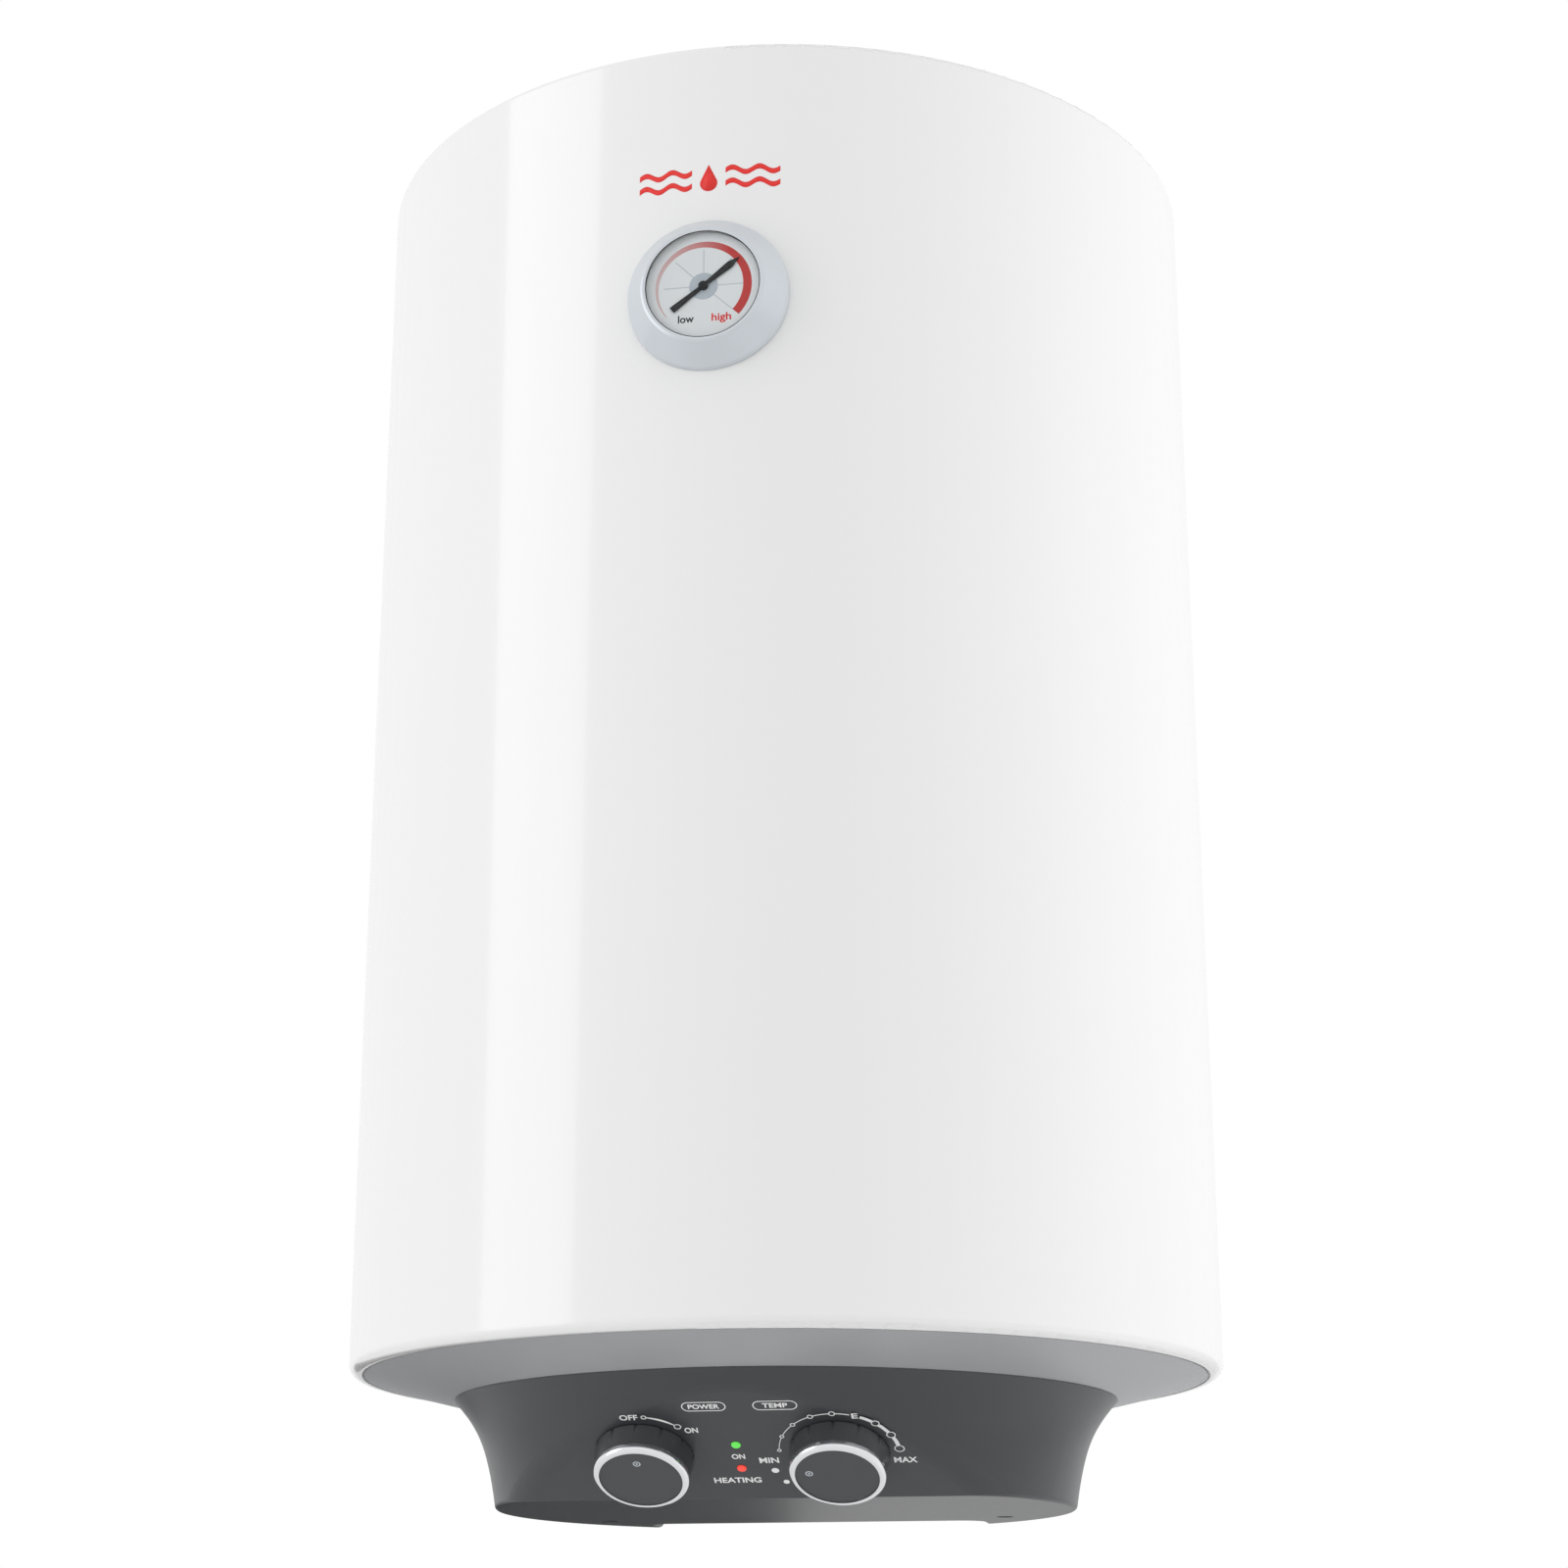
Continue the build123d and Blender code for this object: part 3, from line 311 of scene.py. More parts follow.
def finish_of(
    name, colour, rough, metal=0.0, texture=None, bump=0.0, tone=0.06, dust=0.15, coat=0.0, glow=0.0
):
    """A procedural finish. texture is (group, scale, how much it changes the roughness)."""
    material = bpy.data.materials.new(name)
    material.use_nodes = True
    tree = material.node_tree
    shader = tree.nodes["Principled BSDF"]
    shader.inputs["Metallic"].default_value = metal
    shader.inputs["Coat Weight"].default_value = coat
    shader.inputs["Coat Roughness"].default_value = 0.06
    drift = add_group(tree, TONE, 9, tone)
    bright = math_node(tree, "ADD", drift, 1.0)
    tint = tree.nodes.new("ShaderNodeMix")
    tint.data_type = "RGBA"
    tint.blend_type = "MULTIPLY"
    tint.inputs["Factor"].default_value = 1.0
    tint.inputs["A"].default_value = (*colour, 1)
    tree.links.new(bright, tint.inputs["B"])
    greyed = tree.nodes.new("ShaderNodeMix")
    greyed.data_type = "RGBA"
    greyed.inputs["B"].default_value = (0.45, 0.43, 0.40, 1)
    tree.links.new(add_group(tree, DUST, 40, dust), greyed.inputs["Factor"])
    tree.links.new(tint.outputs["Result"], greyed.inputs["A"])
    tree.links.new(greyed.outputs["Result"], shader.inputs["Base Color"])
    group, scale, share = texture or (TONE, 30, 0.04)
    fine = add_group(tree, group, scale, 1.0)
    varied = math_node(tree, "ADD", math_node(tree, "MULTIPLY", fine, share), rough)
    tree.links.new(varied, shader.inputs["Roughness"])
    if bump:
        relief = tree.nodes.new("ShaderNodeBump")
        relief.inputs["Strength"].default_value = 0.4
        relief.inputs["Distance"].default_value = bump
        tree.links.new(fine, relief.inputs["Height"])
        tree.links.new(relief.outputs["Normal"], shader.inputs["Normal"])
    if glow:
        shader.inputs["Emission Color"].default_value = (*colour, 1)
        shader.inputs["Emission Strength"].default_value = glow
    return material


MOULDED = (GRAIN, 2500, 0.10)
CAST = (GRAIN, 700, 0.25)
DRAWN = (BRUSH, 60, 0.20)
FINISHES = {
    "white_enamel": finish_of("white_enamel", (0.82, 0.82, 0.82), 0.16, coat=0.6, tone=0.01, dust=0.04),
    "white_lid": finish_of("white_lid", (0.80, 0.80, 0.80), 0.32, texture=MOULDED, bump=2e-5, tone=0.02),
    "grey_cap": finish_of("grey_cap", (0.36, 0.365, 0.38), 0.38, texture=MOULDED, bump=2e-5, tone=0.05),
    "dark_cover": finish_of("dark_cover", (0.040, 0.042, 0.047), 0.36, texture=MOULDED, bump=2e-5),
    "dark_knob": finish_of("dark_knob", (0.045, 0.047, 0.052), 0.34, texture=MOULDED, bump=2e-5),
    "chrome_band": finish_of("chrome_band", (0.86, 0.87, 0.89), 0.08, metal=1.0, tone=0.02, dust=0.02),
    "silver_bezel": finish_of("silver_bezel", (0.60, 0.64, 0.68), 0.32, metal=0.35, coat=0.4, tone=0.02),
    "dial_white": finish_of("dial_white", (0.86, 0.86, 0.86), 0.5, texture=MOULDED, tone=0.02, dust=0.0),
    "needle_black": finish_of("needle_black", (0.012, 0.012, 0.012), 0.45, texture=MOULDED, dust=0.0),
    "green_lens": finish_of("green_lens", (0.10, 0.62, 0.07), 0.2, glow=0.5, dust=0.0),
    "red_lens": finish_of("red_lens", (0.85, 0.05, 0.03), 0.2, glow=0.5, dust=0.0),
    "tank_steel": finish_of("tank_steel", (0.10, 0.13, 0.22), 0.28, metal=0.2, texture=CAST, bump=1e-4),
    "zinc_steel": finish_of(
        "zinc_steel", (0.62, 0.62, 0.58), 0.32, metal=1.0, texture=DRAWN, bump=2e-5, tone=0.2
    ),
    "stainless": finish_of("stainless", (0.66, 0.66, 0.67), 0.22, metal=1.0, texture=DRAWN, bump=1e-5),
    "foam": finish_of("foam", (0.80, 0.68, 0.38), 0.9, texture=CAST, bump=6e-4, tone=0.3),
    "rubber_black": finish_of("rubber_black", (0.02, 0.02, 0.02), 0.7, texture=CAST, bump=3e-5, tone=0.2),
    "copper": finish_of("copper", (0.80, 0.42, 0.28), 0.25, metal=1.0, texture=DRAWN, bump=1e-5, tone=0.3),
    "brass_part": finish_of("brass_part", (0.78, 0.60, 0.28), 0.25, metal=1.0, texture=DRAWN, bump=1e-5),
    "anode_metal": finish_of(
        "anode_metal", (0.55, 0.56, 0.57), 0.6, metal=0.8, texture=CAST, bump=2e-4, tone=0.3
    ),
    "blue_plastic": finish_of("blue_plastic", (0.02, 0.11, 0.50), 0.35, texture=MOULDED, bump=2e-5),
    "red_plastic": finish_of("red_plastic", (0.60, 0.02, 0.02), 0.35, texture=MOULDED, bump=2e-5),
    "black_plastic": finish_of("black_plastic", (0.02, 0.02, 0.022), 0.45, texture=MOULDED, bump=3e-5),
    "ivory_plastic": finish_of("ivory_plastic", (0.72, 0.68, 0.56), 0.4, texture=MOULDED, bump=2e-5),
    "board_green": finish_of("board_green", (0.02, 0.20, 0.07), 0.3, texture=MOULDED, bump=1e-5),
    "wire_brown": finish_of("wire_brown", (0.16, 0.06, 0.02), 0.45, texture=MOULDED),
    "wire_blue": finish_of("wire_blue", (0.02, 0.08, 0.42), 0.45, texture=MOULDED),
    "wire_green": finish_of("wire_green", (0.20, 0.45, 0.05), 0.45, texture=MOULDED),
}
print("finishes:", len(FINISHES))

# %% [markdown]
# The dial's window is clear plastic. So thin a window hardly bends light, so its index is set close to
# that of air, and the print under it stays where it is.

# %% Clear window
window = finish_of("clear_window", (0.95, 0.97, 0.98), 0.05, dust=0.0, tone=0.01)
window_shader = window.node_tree.nodes["Principled BSDF"]
WINDOW_INDEX = 1.05
window_shader.inputs["Transmission Weight"].default_value = 1.0
window_shader.inputs["IOR"].default_value = WINDOW_INDEX
FINISHES["clear_window"] = window
print("window ready")

# %% [markdown]
# Every CAD node takes the finish that its slot in the record names, so no piece is left plain, not
# even those inside the tank.

# %% Finish the CAD nodes
slot_of = {part["node"]: part["material_slot"] for part in frame["record"]["subparts"]}
for name, node in nodes.items():
    finish = FINISHES[slot_of[name]]
    if node.data.materials:
        node.data.materials[0] = finish
    else:
        node.data.materials.append(finish)
print("nodes with a finish:", len(slot_of))

# %% [markdown]
# Printing on the real heater is ink a few hundredths of a millimetre thick. Here every mark is a very
# thin plate that starts just inside the surface, so it never flickers against it. Marks are drawn in
# millimetres on a flat frame and then placed on the dial or on the panel.

# %% Print helpers
INK, LETTER_SIZE, BOLDER = 0.06, 0.01, 0.00022


def on(frame_matrix, x, y, height):
    """A place on a flat frame, in millimetres, from which ink just rises."""
    return frame_matrix @ Matrix.Translation((x * MM, y * MM, (height - INK / 3) * MM))


def polar(radius, degrees, x=0, y=0):
    """A point at an angle clockwise from up."""
    angle = math.radians(degrees)
    return (x + radius * math.sin(angle), y + radius * math.cos(angle))


def circle(radius, count=32):
    """A round outline."""
    return [polar(radius, i * 360 / count) for i in range(count)]


def band(radius, start, end, width_at, steps=40):
    """The outline of an arc whose width changes on its way. width_at takes a share from 0 to 1."""
    shares = [i / steps for i in range(steps + 1)]
    turns = [start + (end - start) * share for share in shares]
    outer = [polar(radius + width_at(share) / 2, turn) for share, turn in zip(shares, turns)]
    inner = [polar(radius - width_at(share) / 2, turn) for share, turn in zip(shares, turns)]
    return outer + inner[::-1]


def pill(half_length, half_height, steps=12):
    """A rectangle with round ends."""
    straight = half_length - half_height
    right = [polar(half_height, i * 180 / steps, straight) for i in range(steps + 1)]
    return right + [(-x, -y) for x, y in right]


def word(text, x, y, width, height, surface, level, ink=INK):
    """A word stretched to a width and height, as thin raised letters."""
    start_clean()
    ops.object.text_add(location=(0, 0, 0))
    letters = bpy.context.object
    letters.name = f"word_{text.lower()}"
    letters.data.body = text
    letters.data.size = LETTER_SIZE
    letters.data.extrude = ink * MM / 2
    letters.data.offset = BOLDER
    ops.object.convert(target="MESH")
    letters = bpy.context.object
    corners = [Vector(corner) for corner in letters.bound_box]
    low, high = corners[0], corners[6]
    centre = (low + high) / 2
    stretch = (width * MM / (high.x - low.x), height * MM / (high.y - low.y), 1)
    shift = Matrix.Translation((0, 0, ink * MM / 2)) @ Matrix.Diagonal((*stretch, 1))
    return settle(letters, on(surface, x, y, level) @ shift @ Matrix.Translation(-centre))


print("ink", INK, "mm")

# %% [markdown]
# The dial shows no figures: a red arc grows from a hair line at low to a broad band at high, over
# thin grey spokes and a grey boss. The arc is one outline with a changing width, and its colour pales
# towards the low end, which a gradient over its own coordinates gives. A thin black ring on the
# window's rim, against the bezel's inner wall, is painted shade: it stands in for the shade of that wall.

# %% Dial print
DIAL_R, DIAL_LEVEL = 25.2, 9.0
ARC_START, ARC_END, ARC_WIDTH, ARC_STEPS = -130, 133, 3.8, 60
ARC_R, BOSS_R = 0.84 * DIAL_R, 0.25 * DIAL_R
SPOKE_IN, SPOKE_OUT, SPOKE_HALF = 0.24 * DIAL_R, 0.69 * DIAL_R, 0.18
SPOKE_TURNS = (-90, -45, 0, 45, 90, 133)
# The black ring is painted shade: it darkens the window's rim where the bezel's inner wall throws its
# shade.
SHADE_RING_IN, SHADE_RING_OUT, SHADE_RING_LOW, SHADE_RING_HIGH = 24.8, 25.25, 11.35, 11.7


def arc_width(share):
    """Width of the red arc, which reaches its full value before the high end."""
    return ARC_WIDTH * min(1.0, 0.02 + 1.17 * share) ** 0.65


def arc_outline():
    """The red arc keeps a round outer edge, so all its growth goes inwards."""
    shares = [i / ARC_STEPS for i in range(ARC_STEPS + 1)]
    turns = [ARC_START + (ARC_END - ARC_START) * share for share in shares]
    outer = [polar(ARC_R, turn) for turn in turns]
    inner = [polar(ARC_R - arc_width(share), turn) for share, turn in zip(shares, turns)]
    return outer + inner[::-1]


red_arc = plate("dial_red_arc", arc_outline(), INK, on(GAUGE, 0, 0, DIAL_LEVEL))
spokes = []
for turn in SPOKE_TURNS:
    foot = [(-SPOKE_HALF, SPOKE_IN), (SPOKE_HALF, SPOKE_IN)]
    outline = foot + [(SPOKE_HALF, SPOKE_OUT), (-SPOKE_HALF, SPOKE_OUT)]
    spin_in = Matrix.Rotation(math.radians(-turn), 4, "Z")
    spokes.append(plate("spoke", outline, INK, on(GAUGE, 0, 0, DIAL_LEVEL) @ spin_in))
spokes.append(plate("boss", circle(BOSS_R, 48), INK * 1.3, on(GAUGE, 0, 0, DIAL_LEVEL)))
dial_grey = joined("dial_spokes", spokes)
low_word = word("low", -7.6, -15.0, 7.0, 3.6, GAUGE, DIAL_LEVEL)
high_word = word("high", 7.9, -15.5, 8.6, 4.7, GAUGE, DIAL_LEVEL)
shade_ring_foot = [(SHADE_RING_IN, SHADE_RING_LOW), (SHADE_RING_OUT, SHADE_RING_LOW)]
# Painted shade: a black ring on the window's rim, against the bezel's inner wall.
painted_shade_ring = turned("painted_wall_shade", shade_ring_foot + [(SHADE_RING_OUT, SHADE_RING_HIGH), (SHADE_RING_IN, SHADE_RING_HIGH)], 96, GAUGE)
print("dial marks:", 2 + len(spokes))

# %% [markdown]
# The inks are finishes like the others. The red arc's colour runs from a pale pink at low to full red,
# along X over the dial, and the plain inks differ only in colour and gloss.

# %% Dial inks
FADE_FROM, FADE_TO = -0.85 * DIAL_R, 0.45 * DIAL_R
dial_fade = finish_of("dial_red", (0.62, 0.045, 0.04), 0.5, texture=MOULDED, tone=0.02, dust=0.0)
fade_tree = dial_fade.node_tree
fade_coords = fade_tree.nodes.new("ShaderNodeTexCoord")
fade_axes = fade_tree.nodes.new("ShaderNodeSeparateXYZ")
fade_tree.links.new(fade_coords.outputs["Object"], fade_axes.inputs[0])
fade = fade_tree.nodes.new("ShaderNodeMapRange")
fade.inputs["From Min"].default_value = FADE_FROM * MM
fade.inputs["From Max"].default_value = FADE_TO * MM
fade_tree.links.new(fade_axes.outputs["X"], fade.inputs["Value"])
pale = fade_tree.nodes.new("ShaderNodeMix")
pale.data_type = "RGBA"
pale.inputs["A"].default_value = (0.74, 0.55, 0.54, 1)
pale.inputs["B"].default_value = (0.60, 0.045, 0.04, 1)
fade_tree.links.new(fade.outputs["Result"], pale.inputs["Factor"])
fade_tree.links.new(pale.outputs["Result"], fade_tree.nodes["Principled BSDF"].inputs["Base Color"])
INKS = {
    "white": finish_of("ink_white", (0.88, 0.88, 0.88), 0.45, texture=MOULDED, tone=0.03, dust=0.05),
    "grey": finish_of("ink_grey", (0.52, 0.56, 0.60), 0.5, texture=MOULDED, tone=0.03, dust=0.0),
    "dark": finish_of("ink_dark", (0.03, 0.03, 0.035), 0.5, texture=MOULDED, dust=0.0),
    "red": finish_of("ink_red", (0.78, 0.02, 0.015), 0.4, texture=MOULDED, tone=0.03, dust=0.0),
}
hand_over(red_arc, dial_fade)
hand_over(dial_grey, INKS["grey"])
hand_over(low_word, INKS["dark"])
hand_over(high_word, INKS["red"])
hand_over(painted_shade_ring, FINISHES["rubber_black"])

# %% [markdown]
# The panel is screen-printed in white. The temperature scale is a broken arc round the right knob:
# nine stations, with rings that grow and a line that thickens towards the hot end, and a letter E for
# the economy setting in place of one ring. The loop makes each stretch end at the rings' edges.

# %% Panel print
PANEL_LEVEL, SCALE_R = 0.0, 25.0
KNOB_X_MM = KNOB_X / MM
STATIONS, HALF_SCALE, ECONOMY = 9, 86, 5
RING_LINE, PILL_LINE, PILL_Y = 0.42, 0.4, 31.0
FIRST_RING, RING_GROWTH, LETTER_GAP = 0.95, 1.2, 2.2
FIRST_LINE, LINE_GROWTH, HOT_LINE = 0.3, 0.06, 0.95
PILL_HALF, PILL_RISE, POWER_X, TEMP_X = 9.2, 2.9, -11.0, 18.5
DOTS = ((12.4, -11.5, 1.6), (16.0, -19.2, 1.3))
SWITCH_RINGS = ((9, 1.2), (43, 1.6))
marks = []
ring_r = [FIRST_RING + RING_GROWTH * (i / (STATIONS - 1)) ** 1.4 for i in range(STATIONS)]
ring_r[ECONOMY] = LETTER_GAP
turns = [-HALF_SCALE + i * 2 * HALF_SCALE / (STATIONS - 1) for i in range(STATIONS)]
for i, (turn, radius) in enumerate(zip(turns, ring_r)):
    x, y = polar(SCALE_R, turn, KNOB_X_MM)
    if i == ECONOMY:
        marks.append(word("E", x, y, 2.6, 3.2, PANEL, PANEL_LEVEL))
    else:
        marks.append(plate("station", circle(radius), INK, on(PANEL, x, y, PANEL_LEVEL), RING_LINE))
for i in range(STATIONS - 1):
    start = turns[i] + math.degrees(ring_r[i] / SCALE_R)
    end = turns[i + 1] - math.degrees(ring_r[i + 1] / SCALE_R)
    wide = FIRST_LINE + LINE_GROWTH * i + (HOT_LINE if i >= ECONOMY else 0)
    stretch = band(SCALE_R, start, end, lambda share, wide=wide: wide, 8)
    marks.append(plate("stretch", stretch, INK, on(PANEL, KNOB_X_MM, 0, PANEL_LEVEL)))
for x, y, radius in DOTS:
    marks.append(plate("dot", circle(radius), INK, on(PANEL, x, y, PANEL_LEVEL)))
for turn, radius in SWITCH_RINGS:
    x, y = polar(SCALE_R, turn, -KNOB_X_MM)
    marks.append(plate("switch_ring", circle(radius), INK, on(PANEL, x, y, PANEL_LEVEL), RING_LINE))
switch_arc = band(SCALE_R, 11.8, 39.2, lambda share: 0.5 + 0.6 * math.sin(math.pi * share), 12)
marks.append(plate("switch_arc", switch_arc, INK, on(PANEL, -KNOB_X_MM, 0, PANEL_LEVEL)))
for x in (POWER_X, TEMP_X):
    frame_line = pill(PILL_HALF, PILL_RISE)
    marks.append(plate("pill", frame_line, INK, on(PANEL, x, PILL_Y, PANEL_LEVEL), PILL_LINE))
WORDS = [
    ("POWER", POWER_X, PILL_Y, 13.0, 2.9),
    ("TEMP", TEMP_X, PILL_Y, 10.4, 2.9),
    ("OFF", -43.4, 24.7, 7.6, 3.4),
    ("ON", -18.6, 15.8, 5.6, 3.4),
    ("ON", -1.7, -1.9, 5.6, 3.2),
    ("HEATING", -4.4, -17.6, 20.0, 3.5),
    ("MIN", 10.8, -4.7, 8.2, 3.6),
    ("MAX", 67.6, -5.6, 9.6, 3.6),
]
for text, x, y, width, height in WORDS:
    marks.append(word(text, x, y, width, height, PANEL, PANEL_LEVEL))
print("panel marks:", len(marks))
hand_over(joined("panel_print", marks), INKS["white"])

# %% [markdown]
# Each knob has one small ring printed near the edge of its face, which points at the scale. It turns
# with the knob, so it rides on the knob's body.

# %% Knob marks
FACE_LEVEL, MARK_R, MARK_DOT_R, MARK_LINE = 12.0, 1.6, 0.5, 0.5
for name, radius, turn in (("power", 9.8, 0), ("temperature", 11.6, -81)):
    side = KNOB_X_MM if name == "temperature" else -KNOB_X_MM
    x, y = polar(radius, turn, side)
    ring = plate("mark", circle(MARK_R), INK, on(PANEL, x, y, FACE_LEVEL), MARK_LINE)
    dot = plate("mark_dot", circle(MARK_DOT_R, 16), INK, on(PANEL, x, y, FACE_LEVEL))
    mark = joined(f"{name}_knob_mark", [ring, dot])
    hand_over(mark, INKS["grey"], body=f"{name}_knob")

# %% [markdown]
# The badge on the jacket is a plain drop between two pairs of waves, in red. It is drawn flat in front
# of the jacket, cut into upright strips with Bisect, and then pressed against a round form with
# Shrinkwrap, so that it follows the curve. Solidify gives it the thickness of a transfer.

# %% Wrapped badges
STRIP, STRIPS, STAND_OFF, FORM_SIDES = 2, 20, 4, 720


def stand_up(x, z):
    """The frame of a flat drawing that stands in front of the jacket, in millimetres."""
    return plane_at(HEATER @ Vector((x * MM, -RADIUS - STAND_OFF * MM, z * MM)), (0, -1, 0))


def wrapped(piece, turn=0, lift=0.01):
    """Presses a flat drawing against the jacket's curve and turns it round the axis."""
    pick_only(piece)
    ops.object.mode_set(mode="EDIT")
    for i in range(-STRIPS, STRIPS + 1):
        ops.mesh.select_all(action="SELECT")
        ops.mesh.bisect(plane_co=(i * STRIP * MM, 0, 0), plane_no=(1, 0, 0))
    ops.mesh.select_all(action="SELECT")
    ops.mesh.normals_make_consistent(inside=False)
    start_clean()
    axis = HEATER.translation
    height = jacket_high.z - jacket_low.z
    centre = (axis.x, axis.y, jacket_low.z + height / 2)
    ops.mesh.primitive_cylinder_add(vertices=FORM_SIDES, radius=RADIUS, depth=height, location=centre)
    form = bpy.context.object
    pick_only(piece)
    press = piece.modifiers.new("press", "SHRINKWRAP")
    press.target = form
    press.wrap_method = "PROJECT"
    press.use_project_y = True
    press.offset = lift * MM
    ops.object.modifier_apply(modifier="press")
    thicken = piece.modifiers.new("thicken", "SOLIDIFY")
    thicken.thickness = INK * MM
    thicken.offset = 0
    ops.object.modifier_apply(modifier="thicken")
    bpy.data.objects.remove(form)
    swing = Matrix.Translation(axis) @ Matrix.Rotation(math.radians(turn), 4, "Z")
    return settle(piece, swing @ Matrix.Translation(-axis))


def drop(height):
    """A water drop: a round belly that tapers to a point."""
    radius = height * 0.3
    belly = [polar(radius, turn, 0, radius) for turn in range(60, 301, 12)]
    return [(0, height)] + belly


def wave(length, swing, width, steps=24):
    """A wavy stroke with blunt ends."""
    shares = [i / steps for i in range(steps + 1)]
    spots = [(length * (share - 0.5), swing * math.sin(4 * math.pi * share)) for share in shares]
    upper = [(x, y + width / 2) for x, y in spots]
    return upper + [(x, y - width / 2) for x, y in spots[::-1]]


BADGE_Z, DROP_H = 500, 13
WAVE_X, WAVE_Z, WAVE_LENGTH, WAVE_SWING, WAVE_WIDTH = 19.5, 3.2, 24, 1.3, 2.6
badge = [plate("drop", drop(DROP_H), 0, stand_up(0, BADGE_Z - DROP_H / 2))]
for x in (-WAVE_X, WAVE_X):
    for z in (-WAVE_Z, WAVE_Z):
        stroke = wave(WAVE_LENGTH, WAVE_SWING, WAVE_WIDTH)
        badge.append(plate("wave", stroke, 0, stand_up(x, BADGE_Z + z)))
badge = wrapped(joined("jacket_badge", badge))
hand_over(badge, INKS["red"])

# %% [markdown]
# The stubs end in a half-inch pipe thread of 14 turns to the inch. The CAD stub is a plain cylinder, so
# each is turned again here with ridges. They are rings, which at this size look the same as a helix.

# %% Pipe threads
PITCH, CREST_R, ROOT_R, PIPE_R, PIPE_BORE = 1.814, 10.48, 9.4, 10.65, 8.0
THREAD_LENGTH, MOUTH, FIRST_ROOT = 20.0, 0.8, 0.4
ROOT_RISE, CREST_FROM, CREST_TO = 0.2, 0.45, 0.6


def pipe_outline(length):
    """Half section of a stub with its thread at the foot, its foot at height 0."""
    outline = [(PIPE_BORE, 0), (CREST_R - MOUTH, 0), (ROOT_R + FIRST_ROOT, MOUTH)]
    level = MOUTH
    while level + PITCH < THREAD_LENGTH:
        outline += [(ROOT_R, level + ROOT_RISE), (CREST_R, level + PITCH * CREST_FROM)]
        outline += [(CREST_R, level + PITCH * CREST_TO)]
        level += PITCH
    outline += [(ROOT_R, level + ROOT_RISE), (PIPE_R, THREAD_LENGTH)]
    return outline + [(PIPE_R, length), (PIPE_BORE, length)]


for node in ("cold_inlet_pipe", "hot_outlet_pipe"):
    low, high = (Vector(corner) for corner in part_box(node))
    foot = Matrix.Translation(((low.x + high.x) / 2, (low.y + high.y) / 2, low.z))
    stub = turned(f"threaded_{node}", pipe_outline((high.z - low.z) / MM), 64, foot)
    hand_over(stub, FINISHES["zinc_steel"], stands_for=[node])

# %% [markdown]
# A rating plate is stuck low on the right side, towards the wall. It is a pale label, wrapped like the
# badge, and carries only plain data that any such heater has, in dark letters of two sizes.

# %% Rating plate
PLATE_Z, PLATE_TURN, PLATE_HALF, PLATE_RISE = 90, 118, 32, 17


def rating_lines():
    """The plate's lettering, flat in front of the jacket: text, height on it, width and letter size."""
    lines = [("ELECTRIC WATER HEATER", 9, 44, 3.0), ("50 L   230 V~   50 Hz", 2, 40, 2.4)]
    lines += [("1500 W   0.8 MPa", -4, 32, 2.4), ("IPX4   CLASS I", -10, 27, 2.4)]
    flat = stand_up(0, PLATE_Z)
    return [word(text, 0, y, width, height, flat, 0, ink=0) for text, y, width, height in lines]


label = wrapped(plate("rating_label", pill(PLATE_HALF, PLATE_RISE), 0, stand_up(0, PLATE_Z)), PLATE_TURN)
hand_over(label, FINISHES["silver_bezel"])
lettering = wrapped(joined("rating_text", rating_lines()), PLATE_TURN, lift=0.05)
hand_over(lettering, INKS["dark"])

# %% [markdown]
# A small studio. The world is plain white, so glossy enamel has something even to reflect, and one
# tall soft box on the left draws the long bright stripe that shows the jacket is round. A dark card
# low behind the left side, which the camera does not see, darkens that end of the cover's underside.

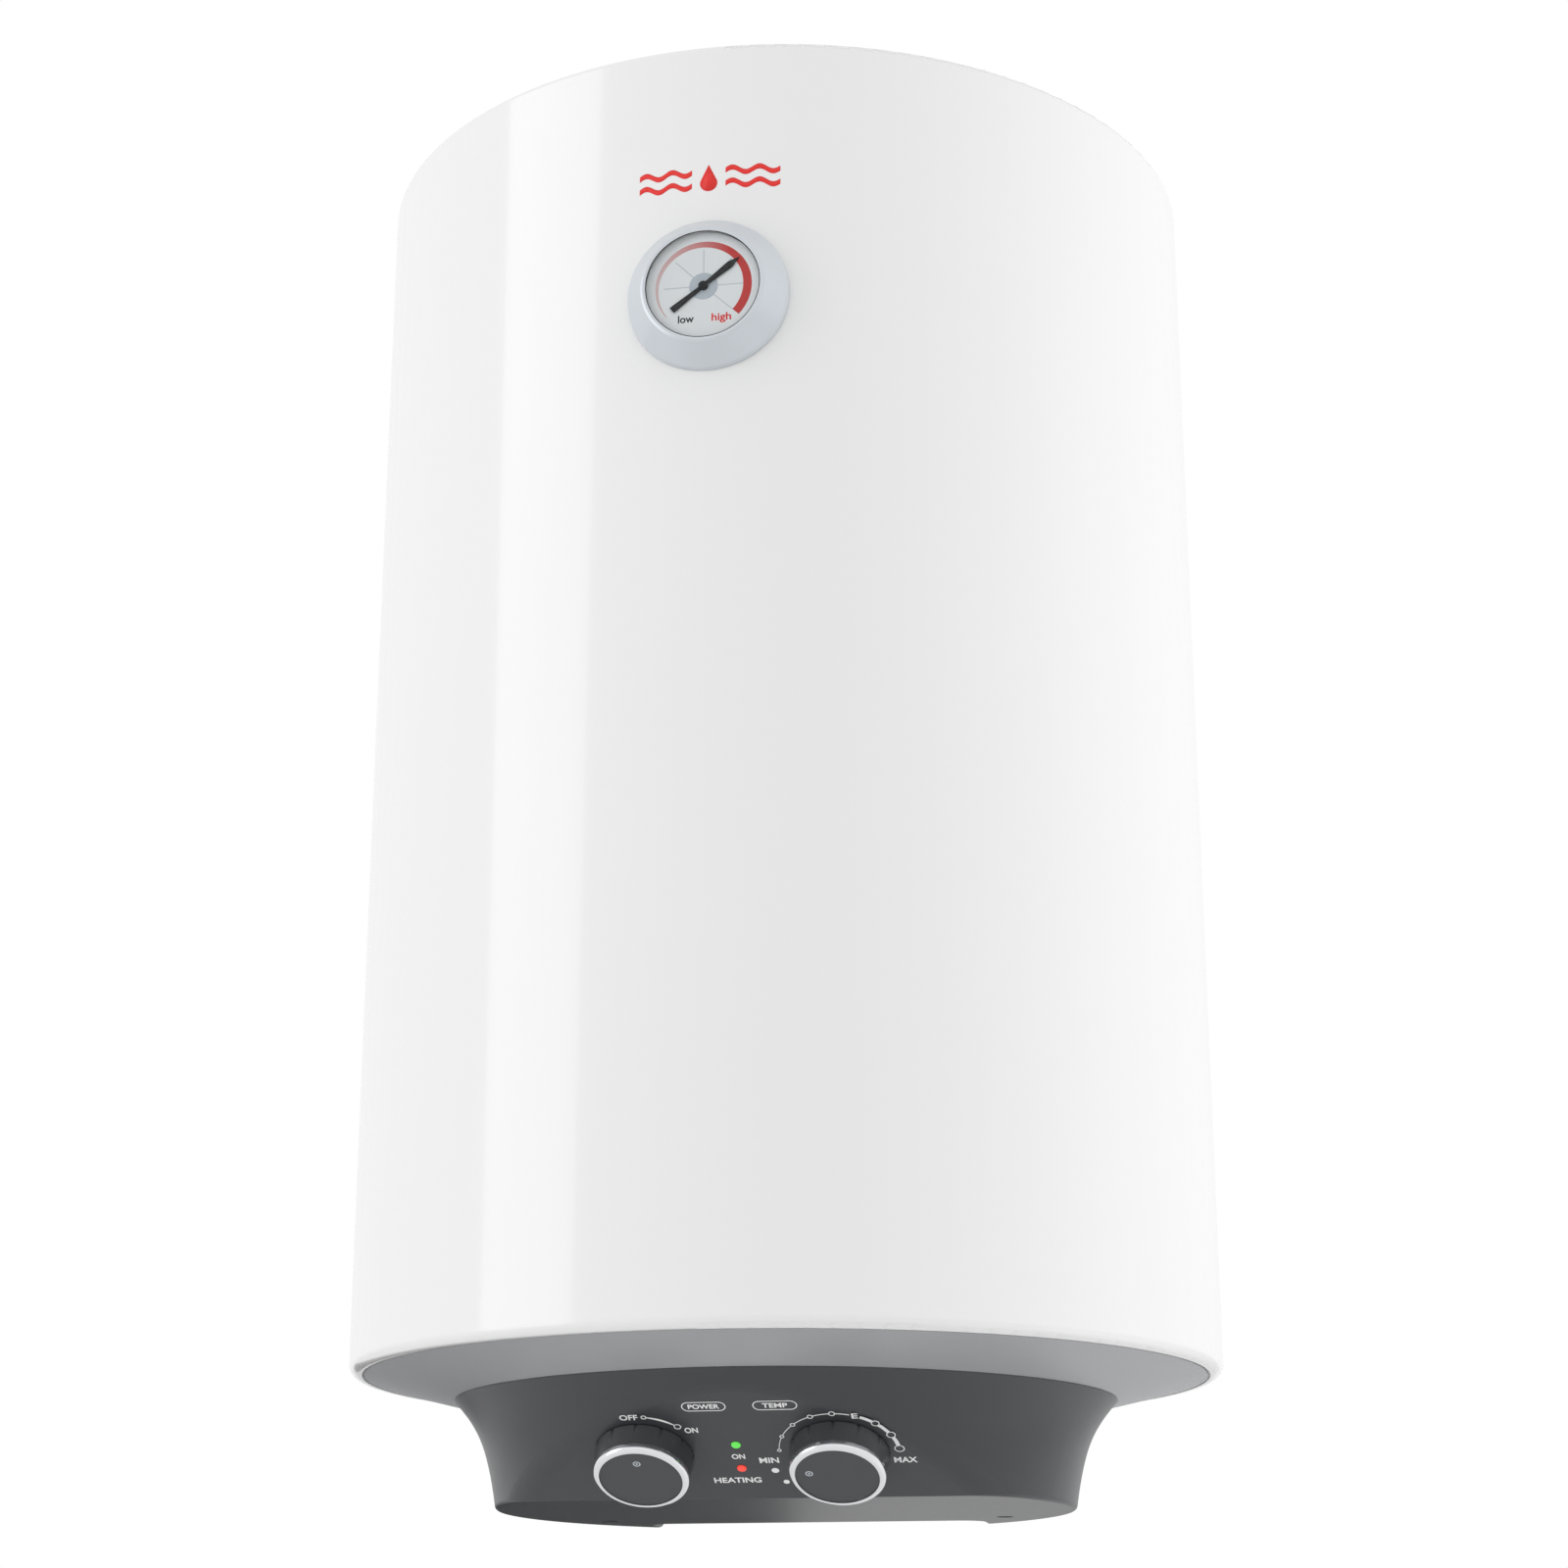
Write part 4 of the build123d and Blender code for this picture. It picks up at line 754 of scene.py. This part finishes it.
# %% Studio
def soft_box(name, spot, target, size, watts):
    """A rectangular area light that faces a target."""
    light = bpy.data.lights.new(name, "AREA")
    light.shape = "RECTANGLE"
    light.size, light.size_y = size
    light.energy = watts
    lamp = bpy.data.objects.new(name, light)
    bpy.context.collection.objects.link(lamp)
    lamp.location = spot
    lamp.rotation_euler = (Vector(target) - Vector(spot)).to_track_quat("-Z", "Y").to_euler()
    return lamp


WORLD_LIGHT, TALL_WATTS, RIM_WATTS = 0.93, 7, 8
FLOOR_SIZE, FLOOR_DROP, CARD_SIZE = 12, 0.6, 0.6
world = bpy.data.worlds.new("studio")
bpy.context.scene.world = world
world.use_nodes = True
world_tree = world.node_tree
backdrop = world_tree.nodes["Background"]
backdrop.inputs["Color"].default_value = (1, 1, 1, 1)
backdrop.inputs["Strength"].default_value = WORLD_LIGHT
plain_white = world_tree.nodes.new("ShaderNodeBackground")
plain_white.inputs["Color"].default_value = (1, 1, 1, 1)
path = world_tree.nodes.new("ShaderNodeLightPath")
choice = world_tree.nodes.new("ShaderNodeMixShader")
world_tree.links.new(path.outputs["Is Camera Ray"], choice.inputs[0])
world_tree.links.new(backdrop.outputs[0], choice.inputs[1])
world_tree.links.new(plain_white.outputs[0], choice.inputs[2])
world_tree.links.new(choice.outputs[0], world_tree.nodes["World Output"].inputs["Surface"])

middle = Vector((0, AXIS_Y, (jacket_low.z + jacket_high.z) / 2))
tall_spot, tall_target = middle + Vector((-1.5, -1.0, 0.25)), middle + Vector((0, 0, -0.1))
soft_box("tall_box", tall_spot, tall_target, (0.9, 2.2), TALL_WATTS)
rim = soft_box("rim_box", middle + Vector((1.6, 0.1, 0.1)), middle, (0.6, 1.6), RIM_WATTS)
rim.visible_glossy = False

start_clean()
ops.mesh.primitive_plane_add(size=FLOOR_SIZE, location=(0, 0, jacket_low.z - FLOOR_DROP))
floor = bpy.context.object
floor.name = "studio_floor"
floor.data.materials.append(finish_of("floor_paper", (0.80, 0.80, 0.80), 0.7, dust=0.0, tone=0.01))

card_spot = (-0.42, AXIS_Y + 0.7, jacket_low.z - 0.4)
ops.mesh.primitive_plane_add(size=CARD_SIZE, location=card_spot, rotation=(math.pi / 2, 0, 0))
card = bpy.context.object
card.name = "dark_card"
card.data.materials.append(finish_of("card_black", (0.01, 0.01, 0.01), 0.9, dust=0.0))
card.visible_camera = False
print("studio ready")
